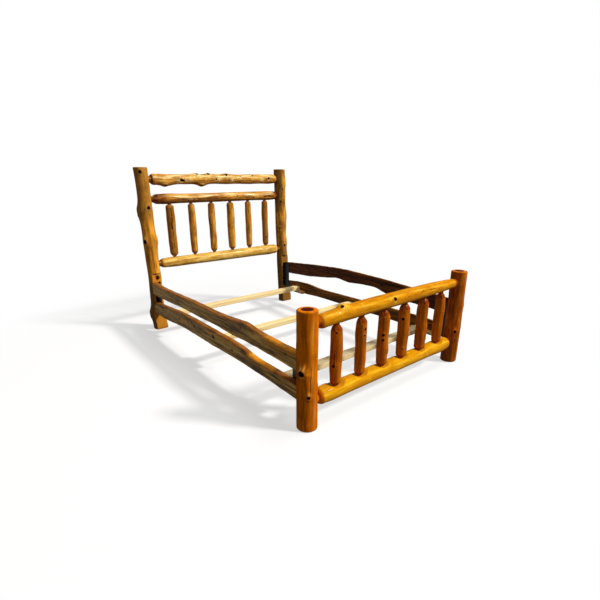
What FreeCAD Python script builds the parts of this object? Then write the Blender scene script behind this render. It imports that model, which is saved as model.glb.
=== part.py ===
import FreeCAD, Part
import os
import Sketcher
from FreeCAD import Placement, Rotation, Vector

# Rustic log bed for a full-size mattress.
# X runs across the bed (left is -X), Y from foot to head, Z up from the floor.

SIZES = {
    # Overall setting out, from post axis to post axis and from the floor
    "post_spacing_x": 1400,
    "post_spacing_y": 2064,
    "fit_gap": 0.25,
    "overrun": 30,
    # Headboard logs
    "head_bottom_height": 582,
    "head_middle_rise": 536,
    "head_top_rise": 155,
    "head_post_rise": 92,
    "head_post_radius": 55,
    "head_top_radius": 42,
    "head_middle_radius": 40,
    "head_bottom_radius": 44,
    "head_spindle_radius": 31,
    # Footboard logs
    "foot_bottom_height": 157,
    "foot_top_rise": 444,
    "foot_post_rise": 75,
    "foot_post_radius": 56,
    "foot_top_radius": 44,
    "foot_bottom_radius": 48,
    "foot_spindle_radius": 34,
    "scoop_radius": 45,
    "scoop_depth": 17,
    # Round tenons of the rails in the posts, each pinned by a screw from behind
    "rail_end_gap": 16,
    "tenon_radius": 27,
    "tenon_past_axis": 14,
    "pin_inboard": 16,
    "pin_radius": 3,
    "pin_length": 78,
    "pin_reach": 38,
    "pin_head_radius": 6,
    "pin_head_height": 4,
    "post_end_chamfer": 5,
    # Spindles and their round tenons in the rails
    "spindle_spacing": 197,
    "spindle_taper": 46,
    "spindle_neck": 4,
    "spindle_tenon_radius": 14,
    "spindle_tenon_length": 27,
    # Side rails, each of two live-edge slabs
    "post_flat_offset": 42,
    "post_flat_height": 508,
    "rail_inner_offset": 2,
    "slab_thickness": 38,
    "slab_end_gap": 0.3,
    "upper_slab_height": 392,
    "lower_slab_height": 214,
    "slab_half_width": 50,
    "live_edge_slant": 18,
    # Steel hook plates that join and hang the slabs
    "plate_thickness": 5,
    "plate_length": 78,
    "plate_bottom": 168,
    "plate_top": 425,
    "hook_low": 214,
    "hook_high": 356,
    "hook_neck": 18,
    "hook_drop": 18,
    "hook_lip": 6,
    "rail_lift": 20,
    "plate_screw_radius": 3,
    "plate_screw_length": 26,
    "plate_screw_head_radius": 7,
    "plate_screw_head_height": 3.5,
    "plate_screw_edge": 26,
    "plate_screw_pitch": 40,
    "lower_screw_height": 196,
    "upper_screw_height": 366,
    "screw_row_step": 32,
    # Steel strike plates let into the posts
    "strike_width": 40,
    "strike_thickness": 3,
    "strike_bottom": 186,
    "strike_top": 430,
    "slot_gap": 0.5,
    "strike_screw_radius": 2.5,
    "strike_screw_length": 30,
    "strike_screw_head_radius": 4.5,
    "strike_screw_head_height": 1.8,
    "strike_screw_inboard": 6,
    "strike_screw_low": 196,
    "strike_screw_middle": 304,
    "strike_screw_high": 420,
    # Pine slats on short cleats
    "slat_top": 218,
    "slat_thickness": 38,
    "slat_width": 64,
    "slat_end_gap": 4,
    "slat_edge": 3,
    "head_slat_place": 760,
    "middle_slat_place": -10,
    "foot_slat_place": -795,
    "cleat_length": 220,
    "cleat_height": 25,
    "cleat_thickness": 38,
    "cleat_edge": 2,
    "cleat_screw_radius": 2.5,
    "cleat_screw_length": 50,
    "cleat_screw_head_radius": 4.5,
    "cleat_screw_head_height": 3,
    "cleat_screw_pitch": 80,
    "cleat_screw_drop": 8,
}

doc = FreeCAD.newDocument("log_bed")
sheet = doc.addObject("Spreadsheet::Sheet", "sizes")
for row, (alias, value) in enumerate(SIZES.items(), start=1):
    sheet.set("A%d" % row, alias.replace("_", " "))
    sheet.set("B%d" % row, str(value))
    sheet.setAlias("B%d" % row, alias)
doc.recompute()

HALF_X = "sizes.post_spacing_x / 2"
HALF_Y = "sizes.post_spacing_y / 2"
ALONG_X = Rotation(Vector(0, 1, 0), 90)
AGAINST_X = Rotation(Vector(0, 1, 0), -90)
ALONG_Y = Rotation(Vector(1, 0, 0), -90)
AGAINST_Y = Rotation(Vector(1, 0, 0), 90)
UPRIGHT = Rotation()
SIDES = {"left": -1, "right": 1}
ENDS = {"foot": -1, "head": 1}

PARTS = []


def size(alias):
    """The value of a driving dimension, for shapes that are built in code."""
    return float(sheet.get(alias))


def signed(sign, text):
    """An outward distance, turned to the left or right, foot or head."""
    return text if sign > 0 else "-(%s)" % text


def place(item, where, turn=UPRIGHT):
    """A placement whose offsets are bound to the sizes."""
    item.Placement = Placement(Vector(), turn)
    for axis, text in zip("xyz", where):
        if text != "0":
            item.setExpression("Placement.Base." + axis, text)


def new_body(label, x="0", y="0", z="0"):
    """A body that is a sub-part by itself."""
    body = doc.addObject("PartDesign::Body", label)
    body.Label = label
    place(body, (x, y, z))
    PARTS.append(body)
    return body


def origin_plane(body, role):
    for feature in body.Origin.OriginFeatures:
        if feature.Role == role:
            return feature


def attach(feature, body, where, turn=UPRIGHT, plane="XY_Plane"):
    """Attach a sketch or primitive to one of its body's own origin planes."""
    feature.AttachmentSupport = [(origin_plane(body, plane), "")]
    feature.MapMode = "FlatFace"
    feature.AttachmentOffset = Placement(Vector(), turn)
    for axis, text in zip("xyz", where):
        if text != "0":
            feature.setExpression("AttachmentOffset.Base." + axis, text)


def add_rod(body, kind, where, turn, radius, length):
    """A round solid or a round hole inside a body; kind is Additive or Subtractive."""
    rod = body.newObject("PartDesign::%sCylinder" % kind, body.Label + "_rod")
    attach(rod, body, where, turn)
    rod.setExpression("Radius", radius)
    rod.setExpression("Height", length)
    return rod


def add_block(body, kind, spans, signs=(1, 1)):
    """A box between outward distances in x and y and heights in z."""
    block = body.newObject("PartDesign::%sBox" % kind, body.Label + "_block")
    attach(block, body, span_lows(spans, signs))
    for side, (near, far) in zip(("Length", "Width", "Height"), spans):
        block.setExpression(side, "(%s) - (%s)" % (far, near))
    return block


def span_lows(spans, signs):
    """The low corner of a box that is given by outward spans."""
    lows = []
    for (near, far), sign in zip(spans, signs + (1,)):
        lows.append(near if sign > 0 else "-(%s)" % far)
    return lows


def drill(cutters, label, where, turn, radius, length):
    """A round cutter in the frame of the log that it cuts."""
    cutter = doc.addObject("Part::Cylinder", label + "_drill")
    cutter.setExpression("Radius", radius)
    cutter.setExpression("Height", length)
    place(cutter, where, turn)
    cutters.append(cutter)


def notch(cutters, label, spans, signs):
    """A square cutter in the frame of the log that it cuts."""
    cutter = doc.addObject("Part::Box", label + "_notch")
    place(cutter, span_lows(spans, signs))
    for side, (near, far) in zip(("Length", "Width", "Height"), spans):
        cutter.setExpression(side, "(%s) - (%s)" % (far, near))
    cutters.append(cutter)


def cut_log(label, log, cutters, where, turn=UPRIGHT):
    """The finished sub-part: a log less all its cutters, set in its place."""
    cutter = doc.addObject("Part::MultiFuse", label + "_cutters")
    cutter.Shapes = cutters
    piece = doc.addObject("Part::Cut", label)
    piece.Label = label
    piece.Base = log
    piece.Tool = cutter
    place(piece, where, turn)
    PARTS.append(piece)


def new_log(label, length, radius, ring_shares, eased=None):
    """A log lofted through rings: share of the length, girth, and two offsets in radii.

    An eased log gets a second ring near each end, so that both ends are chamfered.
    """
    rows = []
    last = len(ring_shares) - 1
    for number, (along, girth, first, second) in enumerate(ring_shares):
        full = "%s * %s" % (radius, girth)
        offsets = ["%s * %s" % (radius, first), "%s * %s" % (radius, second)]
        level = "(%s) * %s" % (length, along)
        if eased and number == 0:
            rows.append((full + " - " + eased, offsets, level))
            level += " + " + eased
        if eased and number == last:
            rows.append((full, offsets, level + " - " + eased))
            full += " - " + eased
        rows.append((full, offsets, level))
    body = doc.addObject("PartDesign::Body", label + "_log")
    rings = []
    for full, offsets, level in rows:
        ring = body.newObject("Sketcher::SketchObject", label + "_ring")
        ring.addGeometry(Part.Circle(Vector(), Vector(0, 0, 1), 1), False)
        ring.addConstraint(Sketcher.Constraint("Coincident", 0, 3, -1, 1))
        ring.addConstraint(Sketcher.Constraint("Radius", 0, 1))
        ring.setExpression("Constraints[1]", full)
        attach(ring, body, offsets + [level])
        rings.append(ring)
    loft = body.newObject("PartDesign::AdditiveLoft", label + "_loft")
    loft.Profile = rings[0]
    loft.Sections = rings[1:]
    loft.Ruled = True
    return body


# Posts

# Rings of each post: share of the height, girth, offset to +X and offset to +Y in radii
HEAD_LEFT_SHARES = [
    (0.000, 1.12, 0.06, 0.00), (0.050, 1.13, -0.02, 0.02), (0.100, 1.14, -0.10, 0.04),
    (0.165, 1.03, 0.00, 0.00), (0.250, 1.00, 0.06, -0.02), (0.340, 0.98, 0.12, 0.00),
    (0.450, 0.96, 0.06, 0.03), (0.565, 1.04, 0.08, 0.00), (0.650, 0.98, 0.02, 0.00),
    (0.755, 1.06, -0.03, 0.02), (0.830, 0.96, 0.02, 0.00), (0.920, 0.92, 0.00, -0.02),
    (1.000, 0.86, -0.05, 0.00),
]
HEAD_RIGHT_SHARES = [
    (0.000, 1.12, 0.42, 0.00), (0.050, 1.08, 0.36, 0.00), (0.130, 1.00, 0.18, 0.00),
    (0.240, 0.98, 0.06, 0.02), (0.345, 1.08, 0.10, 0.00), (0.410, 0.98, 0.00, 0.00),
    (0.520, 0.96, -0.05, 0.02), (0.620, 1.03, -0.04, 0.00), (0.730, 0.96, -0.14, 0.00),
    (0.850, 1.00, -0.16, -0.02), (1.000, 1.02, -0.22, 0.00),
]
FOOT_LEFT_SHARES = [
    (0.000, 1.04, 0.00, 0.00), (0.250, 1.02, 0.00, 0.02), (0.500, 0.99, 0.00, 0.00),
    (0.750, 1.01, 0.01, 0.00), (1.000, 0.99, 0.00, 0.00),
]
FOOT_RIGHT_SHARES = [
    (0.000, 1.02, 0.00, 0.00), (0.300, 1.03, -0.02, 0.00), (0.550, 0.99, -0.04, 0.00),
    (0.800, 0.97, -0.08, 0.00), (1.000, 0.96, -0.14, 0.00),
]

HEAD_BOTTOM_LEVEL = "sizes.head_bottom_height"
HEAD_MIDDLE_LEVEL = HEAD_BOTTOM_LEVEL + " + sizes.head_middle_rise"
HEAD_TOP_LEVEL = HEAD_MIDDLE_LEVEL + " + sizes.head_top_rise"
HEAD_POST_HEIGHT = HEAD_TOP_LEVEL + " + sizes.head_post_rise"
FOOT_BOTTOM_LEVEL = "sizes.foot_bottom_height"
FOOT_TOP_LEVEL = FOOT_BOTTOM_LEVEL + " + sizes.foot_top_rise"
FOOT_POST_HEIGHT = FOOT_TOP_LEVEL + " + sizes.foot_post_rise"
HEAD_RAILS = [HEAD_TOP_LEVEL, HEAD_MIDDLE_LEVEL, HEAD_BOTTOM_LEVEL]
FOOT_RAILS = [FOOT_TOP_LEVEL, FOOT_BOTTOM_LEVEL]
HOOKS = ["sizes.hook_low", "sizes.hook_high"]
STRIKE_SCREWS = ["sizes.strike_screw_low", "sizes.strike_screw_middle", "sizes.strike_screw_high"]

FLAT = "-sizes.post_flat_offset"
STRIKE_BACK = "-sizes.post_flat_offset + sizes.strike_thickness"
HOOK_BACK = STRIKE_BACK + " + sizes.fit_gap + sizes.hook_lip"
HOOK_INNER = "sizes.rail_inner_offset - sizes.plate_thickness"
HOOK_OUTER = "sizes.rail_inner_offset"


def hook_room(hook, below, beside, above):
    """The x and z spans of a hook with room round it, as outward distances."""
    across = ("%s - %s" % (HOOK_INNER, beside), "%s + %s" % (HOOK_OUTER, beside))
    top = "%s + sizes.hook_neck + sizes.rail_lift + %s" % (hook, above)
    return across, ("%s - (%s)" % (hook, below), top)


def make_post(label, side, end, height, radius, ring_shares, rails):
    """A post: its log, the sawn flat, mortises, pin holes and the strike plate's recess."""
    body = new_log(label, height, radius, ring_shares, "sizes.post_end_chamfer")
    cutters = []
    signs = (side, end)
    reach = "%s * 2" % radius
    notch(cutters, label, [
        ("-" + reach, reach),
        ("-" + reach, FLAT),
        ("-sizes.overrun", "sizes.post_flat_height"),
    ], signs)
    for rail in rails:
        mortise_end = signed(side, "sizes.tenon_past_axis + sizes.fit_gap")
        inward = AGAINST_X if side > 0 else ALONG_X
        drill(cutters, label, (mortise_end, "0", rail), inward,
              "sizes.tenon_radius + sizes.fit_gap", reach)
        inboard = signed(-side, "sizes.pin_inboard")
        start = (inboard, "sizes.pin_reach - sizes.pin_length - sizes.fit_gap", rail)
        drill(cutters, label, start, ALONG_Y, "sizes.pin_radius + sizes.fit_gap", reach)
        drill(cutters, label, (inboard, "sizes.pin_reach", rail), ALONG_Y,
              "sizes.pin_head_radius + sizes.fit_gap", reach)
    notch(cutters, label, [
        ("-sizes.strike_width / 2 - sizes.fit_gap", "sizes.strike_width / 2 + sizes.fit_gap"),
        (FLAT + " - sizes.overrun", STRIKE_BACK),
        ("sizes.strike_bottom - sizes.fit_gap", "sizes.strike_top + sizes.fit_gap"),
    ], signs)
    for hook in HOOKS:
        room = "sizes.hook_drop + 2 * sizes.slot_gap"
        across, levels = hook_room(hook, room, "2 * sizes.slot_gap", "2 * sizes.slot_gap")
        depth = (FLAT, HOOK_BACK + " + 2 * sizes.slot_gap")
        notch(cutters, label, [across, depth, levels], signs)
    for level in STRIKE_SCREWS:
        tip = FLAT + " + sizes.strike_screw_length + sizes.fit_gap"
        start = (signed(-side, "sizes.strike_screw_inboard"), signed(end, tip), level)
        drill(cutters, label, start, AGAINST_Y if end > 0 else ALONG_Y,
              "sizes.strike_screw_radius + sizes.fit_gap", reach)
    cut_log(label, body, cutters, (signed(side, HALF_X), signed(end, HALF_Y), "0"))


make_post("head_post_left", -1, 1, HEAD_POST_HEIGHT, "sizes.head_post_radius",
          HEAD_LEFT_SHARES, HEAD_RAILS)
make_post("head_post_right", 1, 1, HEAD_POST_HEIGHT, "sizes.head_post_radius",
          HEAD_RIGHT_SHARES, HEAD_RAILS)
make_post("foot_post_left", -1, -1, FOOT_POST_HEIGHT, "sizes.foot_post_radius",
          FOOT_LEFT_SHARES, FOOT_RAILS)
make_post("foot_post_right", 1, -1, FOOT_POST_HEIGHT, "sizes.foot_post_radius",
          FOOT_RIGHT_SHARES, FOOT_RAILS)


# Rails of the headboard and footboard

# Rings of each rail: share of the clear span, girth, drop and offset to +Y in radii
HEAD_TOP_SHARES = [
    (-0.500, 0.68, 0.00, 0.00), (-0.488, 0.88, 0.00, 0.00), (-0.465, 0.98, 0.00, 0.00),
    (-0.400, 1.08, 0.10, 0.00), (-0.330, 0.98, 0.00, 0.03), (-0.260, 0.97, 0.00, -0.04),
    (-0.175, 1.06, 0.00, 0.00), (-0.140, 1.12, 0.16, 0.00), (-0.090, 1.04, -0.04, 0.00),
    (0.000, 0.98, 0.00, 0.04), (0.050, 1.07, -0.06, 0.00), (0.130, 0.98, 0.00, 0.00),
    (0.250, 1.04, 0.00, -0.03), (0.360, 1.00, 0.00, 0.00), (0.460, 1.00, 0.00, 0.00),
    (0.488, 0.88, 0.00, 0.00), (0.500, 0.68, 0.00, 0.00),
]
HEAD_MIDDLE_SHARES = [
    (-0.500, 0.72, 0.00, 0.00), (-0.486, 0.92, 0.00, 0.00), (-0.455, 1.02, 0.00, 0.00),
    (-0.300, 0.99, 0.02, 0.02), (0.000, 1.00, 0.00, -0.02), (0.300, 1.01, -0.02, 0.00),
    (0.455, 1.00, 0.00, 0.00), (0.486, 0.90, 0.00, 0.00), (0.500, 0.72, 0.00, 0.00),
]
HEAD_BOTTOM_SHARES = [
    (-0.500, 0.66, 0.00, 0.00), (-0.486, 0.86, 0.00, 0.00), (-0.455, 0.94, 0.00, 0.00),
    (-0.300, 0.96, 0.00, 0.00), (0.000, 0.99, 0.02, 0.02), (0.300, 1.03, 0.00, 0.00),
    (0.455, 1.04, 0.00, 0.00), (0.486, 0.92, 0.00, 0.00), (0.500, 0.66, 0.00, 0.00),
]
FOOT_TOP_SHARES = [
    (-0.500, 0.66, 0.26, 0.00), (-0.486, 0.76, 0.25, 0.00), (-0.450, 0.84, 0.18, 0.00),
    (-0.395, 0.92, 0.06, 0.00), (-0.357, 1.08, -0.04, 0.00), (-0.310, 0.96, -0.02, 0.02),
    (-0.200, 1.00, -0.06, 0.00), (0.000, 1.00, -0.02, -0.02), (0.200, 0.96, 0.00, 0.00),
    (0.340, 0.90, 0.02, 0.00), (0.450, 0.78, 0.06, 0.00), (0.486, 0.72, 0.08, 0.00),
    (0.500, 0.66, 0.10, 0.00),
]
FOOT_BOTTOM_SHARES = [
    (-0.500, 0.62, 0.00, 0.00), (-0.488, 0.86, 0.00, 0.00), (-0.465, 0.99, 0.00, 0.00),
    (-0.300, 1.00, 0.00, 0.00), (0.000, 1.00, 0.00, 0.02), (0.300, 0.98, 0.00, 0.00),
    (0.460, 0.97, 0.00, 0.00), (0.488, 0.84, 0.00, 0.00), (0.500, 0.62, 0.00, 0.00),
]

# Place of each spindle from the bed's middle, in spacings
SPINDLE_PLACE_SHARES = [-2.5, -1.5, -0.5, 0.5, 1.5, 2.5]

TENON_LENGTH = "sizes.spindle_tenon_length"
HEAD_LOW = HEAD_BOTTOM_LEVEL + " + sizes.head_bottom_radius * 1.05"
HEAD_HIGH = HEAD_MIDDLE_LEVEL + " - sizes.head_middle_radius * 1.05"
FOOT_LOW = FOOT_BOTTOM_LEVEL + " + sizes.foot_bottom_radius - sizes.scoop_depth"
FOOT_HIGH = FOOT_TOP_LEVEL + " - sizes.foot_top_radius * 1.02"


def make_rail(label, end, height, radius, post_radius, ring_shares, mortise=None, scooped=False):
    """A rail: its log, the tenons at both ends, pin holes and the spindles' mortises.

    The log lies on its side, so its own Z runs along +X and its own X points down.
    """
    clear = "sizes.post_spacing_x - 2 * (%s + sizes.rail_end_gap)" % post_radius
    body = new_log(label, clear, radius, ring_shares)
    tip = "-(%s) - sizes.tenon_past_axis" % HALF_X
    add_rod(body, "Additive", ("0", "0", tip), UPRIGHT, "sizes.tenon_radius",
            "sizes.post_spacing_x + 2 * sizes.tenon_past_axis")
    cutters = []
    for side in SIDES.values():
        along = signed(side, HALF_X + " - sizes.pin_inboard")
        start = ("0", "sizes.pin_reach - sizes.pin_length - sizes.fit_gap", along)
        drill(cutters, label, start, ALONG_Y, "sizes.pin_radius + sizes.fit_gap",
              "sizes.pin_length * 2")
    for share in SPINDLE_PLACE_SHARES if mortise else []:
        along = "sizes.spindle_spacing * %s" % share
        bottom, turn = mortise
        drill(cutters, label, (bottom, "0", along), turn,
              "sizes.spindle_tenon_radius + sizes.fit_gap", radius + " * 2")
        if scooped:
            pad = "sizes.scoop_depth - %s" % radius
            drill(cutters, label, (pad, "0", along), AGAINST_X, "sizes.scoop_radius", radius)
    cut_log(label, body, cutters, ("0", signed(end, HALF_Y), height), ALONG_X)


def mortise_below(level, height):
    """A mortise cut up into a rail from below, deep enough for a tenon that starts at level."""
    return ("(%s) - (%s) - %s - sizes.fit_gap" % (height, level, TENON_LENGTH), ALONG_X)


def mortise_above(level, height):
    """A mortise cut down into a rail from above, deep enough for a tenon that ends at level."""
    return ("(%s) - (%s) + %s + sizes.fit_gap" % (height, level, TENON_LENGTH), AGAINST_X)


make_rail("head_top_rail", 1, HEAD_TOP_LEVEL, "sizes.head_top_radius",
          "sizes.head_post_radius", HEAD_TOP_SHARES)
make_rail("head_middle_rail", 1, HEAD_MIDDLE_LEVEL, "sizes.head_middle_radius",
          "sizes.head_post_radius", HEAD_MIDDLE_SHARES,
          mortise_below(HEAD_HIGH, HEAD_MIDDLE_LEVEL))
make_rail("head_bottom_rail", 1, HEAD_BOTTOM_LEVEL, "sizes.head_bottom_radius",
          "sizes.head_post_radius", HEAD_BOTTOM_SHARES,
          mortise_above(HEAD_LOW, HEAD_BOTTOM_LEVEL))
make_rail("foot_top_rail", -1, FOOT_TOP_LEVEL, "sizes.foot_top_radius",
          "sizes.foot_post_radius", FOOT_TOP_SHARES,
          mortise_below(FOOT_HIGH, FOOT_TOP_LEVEL))
make_rail("foot_bottom_rail", -1, FOOT_BOTTOM_LEVEL, "sizes.foot_bottom_radius",
          "sizes.foot_post_radius", FOOT_BOTTOM_SHARES,
          mortise_above(FOOT_LOW, FOOT_BOTTOM_LEVEL), scooped=True)


# Spindles, turned to a pencil taper at both ends

HEAD_GIRTH_SHARES = [1.12, 0.94, 0.98, 1.07, 0.92, 0.95]
FOOT_GIRTH_SHARES = [0.98, 0.96, 1.00, 1.04, 1.07, 0.97]


def make_spindle(label, end, share, low, high, radius):
    """A spindle between two rails, with a round tenon at each end."""
    body = new_body(label, "sizes.spindle_spacing * %s" % share, signed(end, HALF_Y),
                    "%s - %s" % (low, TENON_LENGTH))
    shown = "(%s) - (%s)" % (high, low)
    neck = "%s + sizes.spindle_neck" % TENON_LENGTH
    full = neck + " + sizes.spindle_taper"
    height = "%s + 2 * %s" % (shown, TENON_LENGTH)
    outline = [
        ("0", "0"),
        ("sizes.spindle_tenon_radius", "0"),
        ("sizes.spindle_tenon_radius", neck),
        ("%s * 0.82" % radius, neck + " + sizes.spindle_taper * 0.55"),
        (radius, full),
        ("%s * 1.04" % radius, "(%s) / 2" % height),
        (radius, "%s - (%s)" % (height, full)),
        ("%s * 0.82" % radius, "%s - (%s + sizes.spindle_taper * 0.55)" % (height, neck)),
        ("sizes.spindle_tenon_radius", "%s - (%s)" % (height, neck)),
        ("sizes.spindle_tenon_radius", height),
        ("0", height),
    ]
    sketch = body.newObject("Sketcher::SketchObject", label + "_outline")
    attach(sketch, body, ("0", "0", "0"), plane="XZ_Plane")
    draw_outline(sketch, outline)
    turned = body.newObject("PartDesign::Revolution", label + "_turned")
    turned.Profile = sketch
    turned.ReferenceAxis = (sketch, ["V_Axis"])
    turned.Angle = 360


def draw_outline(sketch, outline):
    """A closed outline whose corners are bound to the sizes; none lies left of or below zero."""
    count = len(outline)
    for number in range(count):
        start = Vector(number, number * number, 0)
        finish = Vector(number + 1, (number + 1) * (number + 1), 0)
        if number == count - 1:
            finish = Vector()
        sketch.addGeometry(Part.LineSegment(start, finish), False)
    for number in range(count):
        follower = (number + 1) % count
        sketch.addConstraint(Sketcher.Constraint("Coincident", number, 2, follower, 1))
    for number, corner in enumerate(outline):
        for kind, line, text in zip(("DistanceX", "DistanceY"), (-2, -1), corner):
            if text == "0":
                sketch.addConstraint(Sketcher.Constraint("PointOnObject", number, 1, line))
                continue
            index = sketch.addConstraint(Sketcher.Constraint(kind, -1, 1, number, 1, 1))
            sketch.setExpression("Constraints[%d]" % index, text)


for number, share in enumerate(SPINDLE_PLACE_SHARES, start=1):
    make_spindle("head_spindle_%d" % number, 1, share, HEAD_LOW, HEAD_HIGH,
                 "sizes.head_spindle_radius * %s" % HEAD_GIRTH_SHARES[number - 1])
for number, share in enumerate(SPINDLE_PLACE_SHARES, start=1):
    make_spindle("foot_spindle_%d" % number, -1, share, FOOT_LOW, FOOT_HIGH,
                 "sizes.foot_spindle_radius * %s" % FOOT_GIRTH_SHARES[number - 1])


# Side rails: slabs with a sawn inner face and live edges

# Edges of each slab's inner face: share of the half length, bottom and top in half widths
LEFT_UPPER_SHARES = [
    (-1.00, -1.54, 1.10), (-0.78, -1.40, 1.10), (-0.62, -1.28, 1.30), (-0.49, -1.28, 1.60),
    (-0.38, -1.36, 1.38), (-0.14, -1.26, 1.12), (0.14, -1.36, 1.12), (0.38, -1.36, 1.00),
    (0.70, -1.62, 0.84), (1.00, -1.66, 1.02),
]
LEFT_LOWER_SHARES = [
    (-1.00, -1.42, 1.00), (-0.76, -1.14, 1.06), (-0.56, -1.02, 1.22), (-0.46, -0.98, 1.56),
    (-0.22, -1.04, 1.76), (0.00, -1.08, 1.78), (0.20, -1.04, 1.82), (0.44, -1.10, 1.72),
    (0.74, -1.50, 1.32), (1.00, -1.60, 1.04),
]
RIGHT_UPPER_SHARES = [
    (-1.00, -1.00, 1.50), (-0.65, -0.86, 1.80), (-0.37, -0.34, 2.06), (-0.30, 0.06, 2.10),
    (-0.17, 0.10, 2.20), (0.06, -0.16, 2.26), (0.19, 0.08, 2.22), (0.31, -0.28, 2.10),
    (0.59, -0.98, 1.74), (1.00, -1.44, 1.00),
]
RIGHT_LOWER_SHARES = [
    (-1.00, -1.34, 0.96), (-0.70, -1.24, 1.10), (-0.45, -1.12, 1.08), (-0.10, -1.16, 0.98),
    (0.18, -1.10, 0.90), (0.45, -1.12, 0.86), (0.62, -1.28, 1.16), (0.76, -1.24, 1.06),
    (1.00, -1.32, 0.66),
]


def slab_face(edge_shares, x, height, inset):
    """The outline of one face of a slab, drawn in the plane at x."""
    half_length = size("post_spacing_y") / 2 - size("post_flat_offset") - size("slab_end_gap")
    half_width = size("slab_half_width")
    bottom = []
    top = []
    for along, low, high in edge_shares:
        y = along * half_length
        bottom.append(Vector(x, y, height + low * half_width + inset))
        top.append(Vector(x, y, height + high * half_width - inset / 2))
    edges = []
    for points in (bottom, top[::-1]):
        curve = Part.BSplineCurve()
        curve.interpolate(points)
        edges.append(curve.toShape())
    head_end = Part.makeLine(bottom[-1], top[-1])
    foot_end = Part.makeLine(top[0], bottom[0])
    return Part.Wire([edges[0], head_end, edges[1], foot_end])


def plate_screw_places(side, end):
    """Where the screws of one hook plate enter: along Y and up, in the bed's own frame."""
    flat = size("post_spacing_y") / 2 - size("post_flat_offset")
    places = []
    for height in (size("lower_screw_height"), size("upper_screw_height")):
        for step in (0, 1):
            along = flat - size("plate_screw_edge") - step * size("plate_screw_pitch")
            places.append((side, end * along, height + step * size("screw_row_step")))
    return places


def cleat_screw_places(side):
    """Where the screws of one side's cleats enter: along Y and up."""
    places = []
    height = size("slat_top") - size("slat_thickness") - size("cleat_screw_drop")
    for slat in ("foot", "middle", "head"):
        for step in (-1, 0, 1):
            along = size(slat + "_slat_place") + step * size("cleat_screw_pitch")
            places.append((side, along, height))
    return places


def screw_hole(side, along, height, radius, depth):
    """A round cutter into a slab's inner face, depth deep."""
    x = size("post_spacing_x") / 2 + size("rail_inner_offset")
    start = Vector(side * (x - size("overrun")), along, height)
    return Part.makeCylinder(radius, depth + size("overrun"), start, Vector(side, 0, 0))


def make_slab(label, side, height, edge_shares, holes):
    """A slab: ruled between a wide inner face and a narrower outer face, with its screw holes."""
    inner = size("post_spacing_x") / 2 + size("rail_inner_offset")
    outer = inner + size("slab_thickness")
    faces = [
        slab_face(edge_shares, side * inner, height, 0),
        slab_face(edge_shares, side * outer, height, size("live_edge_slant")),
    ]
    slab = Part.makeLoft(faces, True, True)
    slab = slab.cut(holes)
    piece = doc.addObject("Part::Feature", label)
    piece.Label = label
    piece.Shape = slab
    piece.Placement = Placement()
    PARTS.append(piece)


for name, side in SIDES.items():
    gap = size("fit_gap")
    plate_depth = size("plate_screw_length") - size("plate_thickness") + gap
    cleat_depth = size("cleat_screw_length") - size("cleat_thickness") + gap
    holes = []
    for end in ENDS.values():
        for entry in plate_screw_places(side, end):
            holes.append(screw_hole(*entry, size("plate_screw_radius") + gap, plate_depth))
    for entry in cleat_screw_places(side):
        holes.append(screw_hole(*entry, size("cleat_screw_radius") + gap, cleat_depth))
    shares = {"left": (LEFT_UPPER_SHARES, LEFT_LOWER_SHARES),
              "right": (RIGHT_UPPER_SHARES, RIGHT_LOWER_SHARES)}[name]
    make_slab(name + "_upper_slab", side, size("upper_slab_height"), shares[0], holes)
    make_slab(name + "_lower_slab", side, size("lower_slab_height"), shares[1], holes)


# Hook plates on the rails and strike plates in the posts

PLATE_END = FLAT + " - sizes.slab_end_gap"


def make_hook_plate(label, side, end):
    """A steel plate on the inner faces of both slabs, with two hooks into the post."""
    body = new_body(label, signed(side, HALF_X), signed(end, HALF_Y))
    signs = (side, end)
    across = (HOOK_INNER, HOOK_OUTER)
    add_block(body, "Additive", [
        across,
        (PLATE_END + " - sizes.plate_length", PLATE_END),
        ("sizes.plate_bottom", "sizes.plate_top"),
    ], signs)
    for hook in HOOKS:
        neck_top = hook + " + sizes.hook_neck"
        add_block(body, "Additive", [across, (PLATE_END, HOOK_BACK), (hook, neck_top)], signs)
        lip = (STRIKE_BACK + " + sizes.fit_gap", HOOK_BACK)
        add_block(body, "Additive", [across, lip, (hook + " - sizes.hook_drop", neck_top)], signs)
    inward = AGAINST_X if side > 0 else ALONG_X
    for row, height in enumerate(("sizes.lower_screw_height", "sizes.upper_screw_height")):
        for step in (0, 1):
            along = FLAT + " - sizes.plate_screw_edge - %d * sizes.plate_screw_pitch" % step
            level = height + " + %d * sizes.screw_row_step" % step
            start = (signed(side, HOOK_OUTER + " + sizes.overrun"), signed(end, along), level)
            add_rod(body, "Subtractive", start, inward,
                    "sizes.plate_screw_radius + sizes.fit_gap", "sizes.overrun * 2")


def make_strike_plate(label, side, end):
    """A slotted steel plate let flush into the post's flat."""
    body = new_body(label, signed(side, HALF_X), signed(end, HALF_Y))
    signs = (side, end)
    add_block(body, "Additive", [
        ("-sizes.strike_width / 2", "sizes.strike_width / 2"),
        (FLAT, STRIKE_BACK),
        ("sizes.strike_bottom", "sizes.strike_top"),
    ], signs)
    for hook in HOOKS:
        across, levels = hook_room(hook, "0", "sizes.slot_gap", "sizes.slot_gap")
        through = (FLAT + " - sizes.overrun", STRIKE_BACK + " + sizes.overrun")
        add_block(body, "Subtractive", [across, through, levels], signs)
    outward = ALONG_Y if end > 0 else AGAINST_Y
    for level in STRIKE_SCREWS:
        inboard = signed(-side, "sizes.strike_screw_inboard")
        start = (inboard, signed(end, FLAT + " - sizes.overrun"), level)
        add_rod(body, "Subtractive", start, outward,
                "sizes.strike_screw_radius + sizes.fit_gap", "sizes.overrun * 2")
        add_rod(body, "Subtractive", start, outward,
                "sizes.strike_screw_head_radius + sizes.fit_gap",
                "sizes.overrun + sizes.strike_screw_head_height")


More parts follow.
